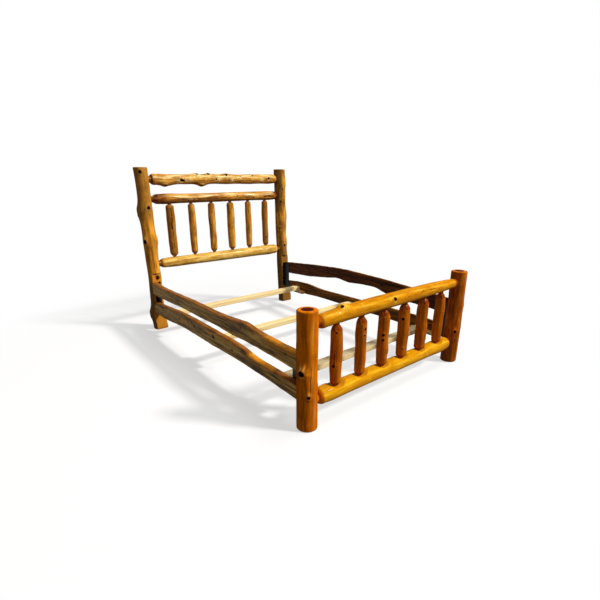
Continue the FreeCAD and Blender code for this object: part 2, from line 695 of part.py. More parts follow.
for end_name, end in ENDS.items():
    for side_name, side in SIDES.items():
        make_hook_plate("%s_%s_hook_plate" % (side_name, end_name), side, end)
        make_strike_plate("%s_%s_strike_plate" % (side_name, end_name), side, end)


# Slats and the cleats that carry them

INNER_FACE = HALF_X + " + sizes.rail_inner_offset"
SLAT_BOTTOM = "sizes.slat_top - sizes.slat_thickness"


def ease_edges(body, tool, length, direction):
    """Chamfer the long edges of a sawn stick that runs along direction."""
    doc.recompute()
    names = []
    for number, edge in enumerate(tool.Shape.Edges, start=1):
        run = edge.Vertexes[-1].Point - edge.Vertexes[0].Point
        if abs(run.normalize().dot(direction)) > 0.9:
            names.append("Edge%d" % number)
    eased = body.newObject("PartDesign::Chamfer", body.Label + "_edges")
    eased.Base = (tool, names)
    eased.setExpression("Size", length)
    doc.recompute()


for slat in ("foot", "middle", "head"):
    along = "sizes.%s_slat_place" % slat
    body = new_body(slat + "_slat", "0", along, SLAT_BOTTOM)
    half_run = INNER_FACE + " - sizes.slat_end_gap"
    stick = add_block(body, "Additive", [
        ("-(%s)" % half_run, half_run),
        ("-sizes.slat_width / 2", "sizes.slat_width / 2"),
        ("0", "sizes.slat_thickness"),
    ])
    ease_edges(body, stick, "sizes.slat_edge", Vector(1, 0, 0))
    for side_name, side in SIDES.items():
        body = new_body("%s_%s_cleat" % (side_name, slat), signed(side, INNER_FACE), along,
                        SLAT_BOTTOM + " - sizes.cleat_height")
        stick = add_block(body, "Additive", [
            ("-sizes.cleat_thickness", "0"),
            ("-sizes.cleat_length / 2", "sizes.cleat_length / 2"),
            ("0", "sizes.cleat_height"),
        ], (side, 1))
        ease_edges(body, stick, "sizes.cleat_edge", Vector(0, 1, 0))
        outward = ALONG_X if side > 0 else AGAINST_X
        for step in (-1, 0, 1):
            start = (signed(-side, "sizes.cleat_thickness + sizes.overrun"),
                     "sizes.cleat_screw_pitch * %d" % step,
                     "sizes.cleat_height - sizes.cleat_screw_drop")
            add_rod(body, "Subtractive", start, outward,
                    "sizes.cleat_screw_radius + sizes.fit_gap",
                    "sizes.cleat_thickness + sizes.overrun * 2")
            add_rod(body, "Subtractive", start, outward,
                    "sizes.cleat_screw_head_radius + sizes.fit_gap",
                    "sizes.overrun + sizes.cleat_screw_head_height")


# Screws, grouped by the rail or board that they ride with


def make_screw(name, kind, x, y, z, turn):
    """One screw: its head starts at the given place and its shank runs on to the tip."""
    head = doc.addObject("Part::Cylinder", name + "_head")
    head.setExpression("Radius", "sizes.%s_head_radius" % kind)
    head.setExpression("Height", "sizes.%s_head_height" % kind)
    shank = doc.addObject("Part::Cylinder", name + "_shank")
    shank.setExpression("Radius", "sizes.%s_radius" % kind)
    shank.setExpression("Height", "sizes.%s_length" % kind)
    screw = doc.addObject("Part::Fuse", name)
    screw.Base = head
    screw.Tool = shank
    place(screw, (x, y, z), turn)
    return screw


def make_screw_group(label, screws):
    group = doc.addObject("Part::Compound", label)
    group.Label = label
    group.Links = screws
    PARTS.append(group)


for side_name, side in SIDES.items():
    outward = ALONG_X if side > 0 else AGAINST_X
    screws = []
    for end_name, end in ENDS.items():
        for row in ("lower", "upper"):
            for step in (0, 1):
                x = HALF_X + " + %s - sizes.plate_screw_head_height" % HOOK_INNER
                y = HALF_Y + " + %s - sizes.plate_screw_edge" % FLAT
                y += " - %d * sizes.plate_screw_pitch" % step
                z = "sizes.%s_screw_height + %d * sizes.screw_row_step" % (row, step)
                name = "%s_%s_%s_plate_screw_%d" % (side_name, end_name, row, step)
                screws.append(make_screw(name, "plate_screw", signed(side, x),
                                         signed(end, y), z, outward))
    make_screw_group(side_name + "_plate_screws", screws)

    screws = []
    for slat in ("foot", "middle", "head"):
        for step in (-1, 0, 1):
            x = INNER_FACE + " - sizes.cleat_thickness"
            y = "sizes.%s_slat_place + sizes.cleat_screw_pitch * %d" % (slat, step)
            z = SLAT_BOTTOM + " - sizes.cleat_screw_drop"
            name = "%s_%s_cleat_screw_%d" % (side_name, slat, step + 1)
            screws.append(make_screw(name, "cleat_screw", signed(side, x), y, z, outward))
    make_screw_group(side_name + "_cleat_screws", screws)

for end_name, end in ENDS.items():
    strike_screws = []
    pins = []
    rails = HEAD_RAILS if end > 0 else FOOT_RAILS
    for side_name, side in SIDES.items():
        for row, level in enumerate(STRIKE_SCREWS):
            x = signed(side, HALF_X + " - sizes.strike_screw_inboard")
            y = signed(end, HALF_Y + " + " + FLAT)
            name = "%s_%s_strike_screw_%d" % (side_name, end_name, row)
            turn = ALONG_Y if end > 0 else AGAINST_Y
            strike_screws.append(make_screw(name, "strike_screw", x, y, level, turn))
        for row, level in enumerate(rails):
            x = signed(side, HALF_X + " - sizes.pin_inboard")
            y = signed(end, HALF_Y) + " + sizes.pin_reach + sizes.pin_head_height"
            name = "%s_%s_tenon_screw_%d" % (side_name, end_name, row)
            pins.append(make_screw(name, "pin", x, y, level, AGAINST_Y))
    make_screw_group(end_name + "_strike_screws", strike_screws)
    make_screw_group(end_name + "_tenon_screws", pins)

doc.recompute()

# Check every object, then write each sub-part

for item in doc.Objects:
    if "Invalid" in item.State or "Error" in item.State:
        raise RuntimeError("%s did not compute: %s" % (item.Label, item.State))
for piece in PARTS:
    if piece.Shape.isNull() or not piece.Shape.isValid():
        raise RuntimeError("%s has no valid shape" % piece.Label)

os.makedirs("parts", exist_ok=True)
for piece in PARTS:
    piece.Shape.exportStep("parts/%s.step" % piece.Label)
    box = piece.Shape.BoundBox
    print("%-26s solids %2d volume %9.0f x %.0f..%.0f y %.0f..%.0f z %.0f..%.0f" % (
        piece.Label, len(piece.Shape.Solids), piece.Shape.Volume,
        box.XMin, box.XMax, box.YMin, box.YMax, box.ZMin, box.ZMax))
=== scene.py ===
import math

import bmesh
import bpy
import numpy as np
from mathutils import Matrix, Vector, noise


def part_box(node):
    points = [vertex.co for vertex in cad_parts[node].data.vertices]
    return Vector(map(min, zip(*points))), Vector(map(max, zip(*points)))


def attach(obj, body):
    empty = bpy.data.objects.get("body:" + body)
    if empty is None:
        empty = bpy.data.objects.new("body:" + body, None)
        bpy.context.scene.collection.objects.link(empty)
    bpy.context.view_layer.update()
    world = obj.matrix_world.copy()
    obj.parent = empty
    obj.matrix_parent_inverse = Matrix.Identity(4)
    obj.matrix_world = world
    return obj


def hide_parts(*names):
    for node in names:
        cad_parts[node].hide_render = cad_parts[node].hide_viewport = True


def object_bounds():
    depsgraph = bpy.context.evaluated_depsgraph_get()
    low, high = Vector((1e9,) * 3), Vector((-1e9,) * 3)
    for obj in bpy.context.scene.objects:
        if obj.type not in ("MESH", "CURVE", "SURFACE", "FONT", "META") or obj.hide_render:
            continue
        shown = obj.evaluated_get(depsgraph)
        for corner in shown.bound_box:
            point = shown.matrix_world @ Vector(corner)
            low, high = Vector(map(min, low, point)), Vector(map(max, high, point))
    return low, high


# Rustic log bed. Metres; X across the bed, Y from foot to head, Z up from the floor.

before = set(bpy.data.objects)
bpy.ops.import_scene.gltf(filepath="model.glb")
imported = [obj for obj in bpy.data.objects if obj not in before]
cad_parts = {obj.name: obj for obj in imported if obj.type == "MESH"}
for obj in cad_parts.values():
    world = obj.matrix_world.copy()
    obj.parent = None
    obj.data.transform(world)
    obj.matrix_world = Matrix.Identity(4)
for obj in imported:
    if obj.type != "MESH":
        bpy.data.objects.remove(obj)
cad_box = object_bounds()

# Setting out, as in the part's source
POST_X = 0.700
POST_Y = 1.032
FLAT_OFFSET = 0.042
CARVED_FLAT_OFFSET = 0.0416
FLAT_TOP = 0.508
HEAD_HEIGHT = 1.365
FOOT_HEIGHT = 0.676
HEAD_RADIUS = 0.055
FOOT_RADIUS = 0.056
RAIL_END_GAP = 0.016
TENON_RADIUS = 0.0262
SCOOP_DEPTH = 0.017
SPINDLE_SPACING = 0.197
SPINDLE_TENON = 0.014
SPINDLE_SUNK = 0.018
SPINDLE_NECK = 0.004
INNER_FACE = 0.702
SLAB_THICKNESS = 0.038
SLAB_END_GAP = 0.0003
SLAT_TOP = 0.218


# Small tools

def lerp(a, b, t):
    return a + (b - a) * t


def smooth(a, b, value):
    """0 below a, 1 above b, eased between them."""
    t = np.clip((value - a) / (b - a), 0.0, 1.0)
    return t * t * (3.0 - 2.0 * t)


def curve_through(table, column, where):
    """A smooth curve through one column of a table."""
    keys = np.array([row[0] for row in table], dtype=float)
    values = np.array([row[column] for row in table], dtype=float)
    slopes = np.gradient(values, keys)
    index = np.clip(np.searchsorted(keys, where) - 1, 0, len(keys) - 2)
    width = keys[index + 1] - keys[index]
    t = np.clip((where - keys[index]) / width, 0.0, 1.0)
    h00 = (1 + 2 * t) * (1 - t) ** 2
    h10 = t * (1 - t) ** 2
    h01 = t * t * (3 - 2 * t)
    h11 = t * t * (t - 1)
    return (h00 * values[index] + h10 * width * slopes[index]
            + h01 * values[index + 1] + h11 * width * slopes[index + 1])


def noise_at(points, scale, seed):
    """Smooth noise from about -1 to 1 at an array of points."""
    shift = Vector((seed * 7.31, seed * 3.17, seed * 5.71))
    stretch = Vector(scale)
    out = np.empty(len(points))
    for number, point in enumerate(points):
        place = Vector((point[0] * stretch.x, point[1] * stretch.y, point[2] * stretch.z)) + shift
        out[number] = noise.noise(place)
    return out


def finish_piece(bm, name, body, node, material, attributes, sharp_angle):
    """Turn a shaped bmesh into the piece that stands for a node of the frame."""
    bmesh.ops.recalc_face_normals(bm, faces=bm.faces)
    mesh = bpy.data.meshes.new(name)
    bm.to_mesh(mesh)
    bm.free()
    for key, values in attributes.items():
        layer = mesh.attributes.new(key, "FLOAT", "POINT")
        layer.data.foreach_set("value", np.asarray(values, dtype=np.float32))
    mesh.shade_smooth()
    mesh.set_sharp_from_angle(angle=math.radians(sharp_angle))
    mesh.materials.append(material)
    piece = bpy.data.objects.new(name, mesh)
    bpy.context.scene.collection.objects.link(piece)
    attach(piece, body)
    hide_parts(node)


# Materials

def srgb(colour):
    """A colour given as six hexadecimal digits, made linear."""
    shares = [int(colour[place:place + 2], 16) / 255.0 for place in (0, 2, 4)]
    return tuple(share / 12.92 if share <= 0.04045 else ((share + 0.055) / 1.055) ** 2.4
                 for share in shares)


class Builder:
    """Short names for adding and joining the nodes of a material or a world."""

    def __init__(self, owner):
        owner.use_nodes = True
        self.owner = owner
        self.tree = owner.node_tree
        self.shader = self.tree.nodes.get("Principled BSDF")

    def add(self, kind, **settings):
        node = self.tree.nodes.new(kind)
        for key, value in settings.items():
            setattr(node, key, value)
        return node

    def link(self, source, target):
        self.tree.links.new(source, target)

    def feed(self, socket, value):
        """Give a socket a number, a linear colour or another node's output."""
        if isinstance(value, (int, float)):
            socket.default_value = value
        elif isinstance(value, tuple):
            socket.default_value = value + (1.0,)
        else:
            self.link(value, socket)

    def coords(self, scale, offset=(0, 0, 0)):
        """Object coordinates stretched by scale."""
        texture = self.add("ShaderNodeTexCoord")
        mapping = self.add("ShaderNodeMapping")
        mapping.inputs["Scale"].default_value = scale
        mapping.inputs["Location"].default_value = offset
        self.link(texture.outputs["Object"], mapping.inputs["Vector"])
        return mapping.outputs["Vector"]

    def noise(self, vector, detail, rough=0.55, distortion=0.0):
        node = self.add("ShaderNodeTexNoise")
        for key, value in (("Scale", 1.0), ("Detail", detail), ("Roughness", rough),
                           ("Distortion", distortion), ("Vector", vector)):
            self.feed(node.inputs[key], value)
        return node.outputs["Fac"]

    def attribute(self, name):
        return self.add("ShaderNodeAttribute", attribute_name=name).outputs["Fac"]

    def math(self, kind, *values):
        node = self.add("ShaderNodeMath", operation=kind)
        for socket, value in zip(node.inputs, values):
            self.feed(socket, value)
        return node.outputs["Value"]

    def plus(self, first, second):
        return self.math("ADD", first, second)

    def times(self, first, second):
        return self.math("MULTIPLY", first, second)

    def ragged(self, value, noise, strength):
        """A value pushed up and down by a noise."""
        return self.plus(value, self.times(self.math("SUBTRACT", noise, 0.5), strength))

    def spread(self, value, low, high):
        """value mapped so that low gives 0 and high gives 1, with an eased middle."""
        node = self.add("ShaderNodeMapRange", interpolation_type="SMOOTHSTEP")
        for key, given in (("From Min", low), ("From Max", high), ("Value", value)):
            self.feed(node.inputs[key], given)
        return node.outputs["Result"]

    def ramp(self, value, stops):
        node = self.add("ShaderNodeValToRGB")
        while len(node.color_ramp.elements) < len(stops):
            node.color_ramp.elements.new(0.5)
        for element, (place, colour) in zip(node.color_ramp.elements, stops):
            element.position = place
            element.color = colour + (1.0,)
        self.link(value, node.inputs["Fac"])
        return node.outputs["Color"]

    def mix(self, factor, first, second):
        """Two colours mixed. The sockets go by position, since each data type repeats the names."""
        node = self.add("ShaderNodeMix", data_type="RGBA")
        for number, value in ((0, factor), (6, first), (7, second)):
            self.feed(node.inputs[number], value)
        return node.outputs[2]

    def blend(self, factor, first, second):
        """Two shaders mixed."""
        node = self.add("ShaderNodeMixShader")
        for socket, value in zip(node.inputs, (factor, first, second)):
            self.feed(socket, value)
        return node.outputs["Shader"]

    def seen_rays(self):
        """1 for the rays that show the white studio: camera, glossy and transmission."""
        rays = self.add("ShaderNodeLightPath").outputs
        either = self.math("MAXIMUM", rays["Is Camera Ray"], rays["Is Glossy Ray"])
        return self.math("MAXIMUM", either, rays["Is Transmission Ray"])

    def finish(self, colour, roughness, relief, strength, distance, constants):
        """Join colour, roughness and relief to the shader, and set its other inputs."""
        bump = self.add("ShaderNodeBump")
        for socket, value in ((bump.inputs["Strength"], strength),
                              (bump.inputs["Distance"], distance),
                              (bump.inputs["Height"], relief),
                              (self.shader.inputs["Base Color"], colour),
                              (self.shader.inputs["Roughness"], roughness),
                              (self.shader.inputs["Normal"], bump.outputs["Normal"])):
            self.feed(socket, value)
        for key, value in constants.items():
            self.shader.inputs[key].default_value = value
        return self.owner


# Scales that draw a pattern out along one axis
STREAK = {"x": (5.0, 60.0, 60.0), "z": (60.0, 60.0, 5.0)}
BAND = {"x": (2.2, 26.0, 26.0), "z": (26.0, 26.0, 2.2)}
BLOTCH = {"x": (9.0, 18.0, 18.0), "z": (18.0, 18.0, 9.0)}
PINE_GRAIN = {"x": (1.1, 26.0, 26.0), "y": (26.0, 1.1, 26.0)}
PINE_SPOTS = {"x": (2.4, 9.0, 9.0), "y": (9.0, 2.4, 9.0)}

# Colours that several materials share
HEART = srgb("4e180c")
RIM = srgb("e27c14")
RING = srgb("280e08")
KNOT_SHELL = srgb("220e05")
KNOT_CORE = srgb("0c0503")
SLAB_KNOT = srgb("1e1209")
# The gold of a painted patch of sunlight on the left slabs
SUNLIT_GOLD = srgb("ec9622")
PINE_KNOT = srgb("78421e")
# Dark patches along the foot slat's edges
EDGE_PATCH = srgb("3a2c1c")


def log_material(name, axis, seed, dark, middle, light, red, stain_and_shade, sawn="d69236",
                 collar_and_highlight=None, grain=1.0, gloss=0.05):
    """A varnished peeled log: bands of heartwood, fine streaks, dark knots and ringed ends, with
    painted highlights and painted shade laid on through the mesh's attributes.
    """
    dark, middle, light, red, stain_and_shade, sawn, collar_and_highlight = map(
        srgb, (dark, middle, light, red, stain_and_shade, sawn, collar_and_highlight or light))
    b = Builder(bpy.data.materials.new(name))
    streaks = b.noise(b.coords(STREAK[axis], (seed, seed, seed)), 6.0, 0.62, 0.25)
    bands = b.noise(b.coords(BAND[axis], (seed, 0, seed)), 3.0, 0.55, 0.5)
    blotch = b.noise(b.coords(BLOTCH[axis], (0, seed, seed)), 4.0, 0.6, 0.6)
    fine = b.noise(b.coords(tuple(3.4 * v for v in STREAK[axis])), 4.0, 0.6)
    tone = b.plus(b.times(streaks, 0.62), b.times(blotch, 0.40))
    base = b.ramp(tone, [(0.51 - 0.13 / grain, dark), (0.51, middle),
                         (0.51 + 0.14 / grain, light)])
    base = b.mix(b.times(b.spread(bands, 0.54, 0.72), 0.45), base, red)
    base = b.mix(b.times(b.spread(fine, 0.44, 0.68), 0.35 * grain), base, dark)
    # Pale knot figure, and painted highlights along the lit side of the logs
    base = b.mix(b.times(b.attribute("figure_and_highlight"), 0.85), base, collar_and_highlight)
    # Stains, and painted shade on the sides turned from the light
    base = b.mix(b.times(b.attribute("stain_and_shade"), b.spread(streaks, 0.28, 0.52)), base, stain_and_shade)
    base = b.mix(b.times(b.attribute("sawn"), b.spread(streaks, 0.20, 0.50)), base, sawn)
    knots = b.ragged(b.attribute("knot"), streaks, 0.35)
    knot_tone = b.ramp(knots, [(0.28, red), (0.50, KNOT_SHELL), (0.80, KNOT_CORE)])
    base = b.mix(b.spread(knots, 0.20, 0.44), base, knot_tone)
    # End grain: rings that follow each point's distance from the heart
    wobble = b.noise(b.coords((24.0, 24.0, 24.0)), 2.0)
    rings = b.math("FRACT", b.plus(b.times(b.attribute("core"), 230.0), b.times(wobble, 5.0)))
    end_grain = b.ramp(b.attribute("share"), [(0.0, HEART), (0.66, HEART), (0.74, RIM),
                                              (1.0, light)])
    end_grain = b.mix(b.times(b.spread(rings, 0.55, 0.95), 0.35), end_grain, RING)
    base = b.mix(b.attribute("cap"), base, end_grain)
    relief = b.plus(b.times(streaks, 0.8), b.times(fine, 0.35))
    return b.finish(base, b.plus(b.times(blotch, 0.24), 0.22), relief, 0.50 * grain, 0.004,
                    {"Specular IOR Level": 0.0, "Coat Weight": gloss, "Coat Roughness": 0.10})


def slab_material(name, seed, dark, face, light, edge_dark, edge):
    """A live-edge slab: streaked brown faces that turn to gold and orange at the live edge."""
    dark, face, light, edge_dark, edge = map(srgb, (dark, face, light, edge_dark, edge))
    b = Builder(bpy.data.materials.new(name))
    grain = b.noise(b.coords((60.0, 3.0, 60.0), (seed, seed, 0)), 6.0, 0.66, 0.6)
    wave = b.noise(b.coords((13.0, 3.4, 13.0), (seed, 0, 0)), 4.0, 0.6, 1.0)
    fine = b.noise(b.coords((230.0, 14.0, 230.0)), 3.0, 0.6)
    tone = b.plus(b.times(grain, 0.70), b.times(wave, 0.34))
    sawn = b.ramp(tone, [(0.43, dark), (0.52, face), (0.62, light)])
    live = b.ramp(tone, [(0.40, edge_dark), (0.62, edge)])
    base = b.mix(b.spread(b.ragged(b.attribute("edge"), grain, 1.6), 0.30, 0.85), sawn, live)
    # A painted patch of sunlight near the foot end
    base = b.mix(b.attribute("sun_patch"), base, SUNLIT_GOLD)
    base = b.mix(b.times(b.spread(fine, 0.48, 0.70), 0.45), base, dark)
    knots = b.ragged(b.attribute("knot"), grain, 0.7)
    base = b.mix(b.spread(knots, 0.25, 0.70), base, SLAB_KNOT)
    relief = b.plus(b.times(grain, 0.7), b.times(fine, 0.5))
    return b.finish(base, b.plus(b.times(wave, 0.25), 0.36), relief, 0.6, 0.005,
                    {"Specular IOR Level": 0.04, "Coat Weight": 0.02, "Coat Roughness": 0.22})


def lumber_material(name, axis, seed, pale, mid, latewood, shadowed_top=None):
    """Sawn pine: straight growth rings, a few small knots and a dry unvarnished surface."""
    pale, mid, latewood = map(srgb, (pale, mid, latewood))
    b = Builder(bpy.data.materials.new(name))
    sway = b.noise(b.coords(PINE_GRAIN[axis], (seed, seed, seed)), 2.0, 0.5, 0.6)
    late = b.spread(b.math("FRACT", b.times(sway, 9.0)), 0.62, 0.98)
    fine = b.noise(b.coords(tuple(9.0 * v for v in PINE_GRAIN[axis])), 4.0, 0.6)
    base = b.ramp(sway, [(0.30, mid), (0.55, pale), (0.75, mid)])
    base = b.mix(b.times(late, 0.42), base, latewood)
    base = b.mix(b.times(b.spread(fine, 0.50, 0.72), 0.25), base, latewood)
    spots = b.add("ShaderNodeTexVoronoi", feature="F1")
    spots.inputs["Scale"].default_value = 1.0
    b.link(b.coords(PINE_SPOTS[axis], (seed, 0, seed)), spots.inputs["Vector"])
    knot = b.math("SUBTRACT", 1.0, b.spread(spots.outputs["Distance"], 0.05, 0.11))
    base = b.mix(b.times(knot, 0.8), base, PINE_KNOT)
    if shadowed_top:
        # The top is painted grey as the footboard's shadow, and dark patches lie along the edges
        height = b.add("ShaderNodeSeparateXYZ")
        b.link(b.coords((1.0, 1.0, 1.0)), height.inputs[0])
        top = b.spread(height.outputs["Z"], SLAT_TOP - 0.0035, SLAT_TOP - 0.0010)
        patch = b.noise(b.coords((7.0, 1.0, 12.0), (seed, 0, 0)), 1.0, 0.5)
        edge_patch = b.times(b.spread(patch, 0.58, 0.62), b.math("SUBTRACT", 1.0, top))
        base = b.mix(b.times(edge_patch, 0.85), base, EDGE_PATCH)
        base = b.mix(b.times(top, 0.70), base, srgb(shadowed_top))
    return b.finish(base, b.plus(b.times(fine, 0.2), 0.5), fine, 0.3, 0.001,
                    {"Specular IOR Level": 0.2})


def steel_material(name, colour, worn, roughness, metallic):
    """Painted or plated steel with slight wear."""
    b = Builder(bpy.data.materials.new(name))
    wear = b.noise(b.coords((40.0, 40.0, 40.0)), 5.0, 0.65)
    fine = b.noise(b.coords((600.0, 600.0, 600.0)), 2.0)
    base = b.ramp(wear, [(0.40, srgb(colour)), (0.78, srgb(worn))])
    return b.finish(base, b.plus(b.times(wear, 0.3), roughness - 0.15), fine, 0.15, 0.0005,
                    {"Metallic": metallic})


# Each log's dark, middle, light, red and stained tone (which also colours the painted shade), and
# what else is its own
LOG_WOODS = {
    "head_post_left": ("7c5014", "d48826", "f6b03c", "a65a12", "684e28", {"sawn": "c88026"}),
    "head_post_right": ("463012", "a67028", "eea838", "5c3812", "463016", {"sawn": "8c6028"}),
    "foot_post_left": ("9e5003", "c86603", "e8860a", "a64604", "602a02",
                       {"collar_and_highlight": "ffbe54", "grain": 0.8, "gloss": 0.02}),
    "foot_post_right": ("682d03", "a04d04", "e28216", "641e04", "542605", {"grain": 0.8}),
    "head_top_rail": ("6a3e10", "c6852e", "eebc58", "965416", "602e10",
                      {"collar_and_highlight": "ffe8a0", "gloss": 0.09}),
    "head_middle_rail": ("66380e", "c48226", "eab44e", "965014", "5a240e",
                         {"collar_and_highlight": "ffe8a4", "gloss": 0.07}),
    "head_bottom_rail": ("966a26", "d2a348", "f0cc72", "c48830", "6e3616", {"gloss": 0.08}),
    "foot_top_rail": ("a46003", "ca8204", "eeb018", "b06003", "964c05",
                      {"collar_and_highlight": "fccc46", "grain": 0.8, "gloss": 0.06}),
    "foot_bottom_rail": ("b06a04", "d89406", "eeba24", "d07c05", "be6805",
                         {"sawn": "d88e0c", "collar_and_highlight": "f6c628", "grain": 0.6, "gloss": 0.07}),
    "head_spindle": ("744612", "c6842a", "ecb046", "9c5a16", "704216", {"gloss": 0.06}),
    "foot_spindle": ("723602", "b25a04", "e08210", "7c2c04", "782a06", {"grain": 0.6}),
}
MATERIALS = {
    name: log_material(name + "_wood", "x" if name.endswith("rail") else "z", float(seed),
                       *tones, **own)
    for seed, (name, (*tones, own)) in enumerate(LOG_WOODS.items(), 1)
}
MATERIALS.update({
    "left_slab": slab_material("left_slab_wood", 1.0, "4e3818", "a87f3e", "dcb162", "6e3e16",
                               "b8742e"),
    # The right slabs' inner faces, turned from the key light, are painted darker as shade, on wood
    # that is somewhat redder
    "right_upper_slab": slab_material("right_upper_slab_shaded_wood", 2.0, "28130a", "4a2514", "76441c",
                                      "5a3010", "a06422"),
    "right_lower_slab": slab_material("right_lower_slab_shaded_wood", 3.0, "381f0a", "704414", "a06826",
                                      "603610", "aa6c24"),
    "slat": lumber_material("slat_wood", "x", 3.0, "f6e0a6", "e8c27c", "cc924c"),
    # The foot slat's grey top is painted shadow of the footboard
    "foot_slat": lumber_material("foot_slat_wood", "x", 4.0, "f4e2b0", "e2c48a", "b88a50",
                                 shadowed_top="a09070"),
    "cleat": lumber_material("cleat_wood", "y", 5.0, "d6ae6e", "be9252", "966632"),
    "black_steel": steel_material("black_steel_finish", "08080a", "1a1a1c", 0.42, 0.6),
    "zinc_screw": steel_material("zinc_screw_finish", "78746a", "b0aa9e", 0.38, 1.0),
})


# Logs

# Rings of each flat end, and the share of the radius from which a point counts as skin
CAP_RINGS = 7
CAP_SHARE = 0.98
LOG_SHARP_ANGLE = 40
KNOT_SINK = 0.0020
DARK_BAND_FADE = 0.05
# The noise that roughens a log is read on a rod of this radius, in three sizes of lump
NOISE_RADIUS = 0.05
BROAD_LUMPS = (16.0, 16.0, 6.5)
SMALL_LUMPS = (46.0, 46.0, 19.0)
RIPPLES = (90.0, 90.0, 8.0)
# Knots, painted highlight streaks, cracks, and darker bands that are stains on some logs and
# painted shade on others, filled in below by each log's name
KNOTS = {}
PAINTED_HIGHLIGHTS = {}
CRACKS = {}
STAIN_AND_SHADE_BANDS = {}


def log_blank(start, finish, end_length, rings, end_rings, around):
    """A closed rod of radius 1 from start to finish along Z, with closer rings near its ends."""
    bm = bmesh.new()
    heights = (start, start + end_length, finish - end_length, finish)
    outline = [bm.verts.new((0.0, 0.0, start))]
    outline += [bm.verts.new((1.0, 0.0, height)) for height in heights]
    outline.append(bm.verts.new((0.0, 0.0, finish)))
    sides = [bm.edges.new(pair) for pair in zip(outline, outline[1:])]
    for side, cuts in zip(sides, (CAP_RINGS, end_rings, rings, end_rings, CAP_RINGS)):
        bmesh.ops.subdivide_edges(bm, edges=[side], cuts=cuts)
    bmesh.ops.spin(bm, geom=bm.verts[:] + bm.edges[:], cent=(0, 0, 0), axis=(0, 0, 1),
                   angle=math.tau, steps=around, use_merge=True)
    bmesh.ops.remove_doubles(bm, verts=bm.verts, dist=1e-5)
    return bm


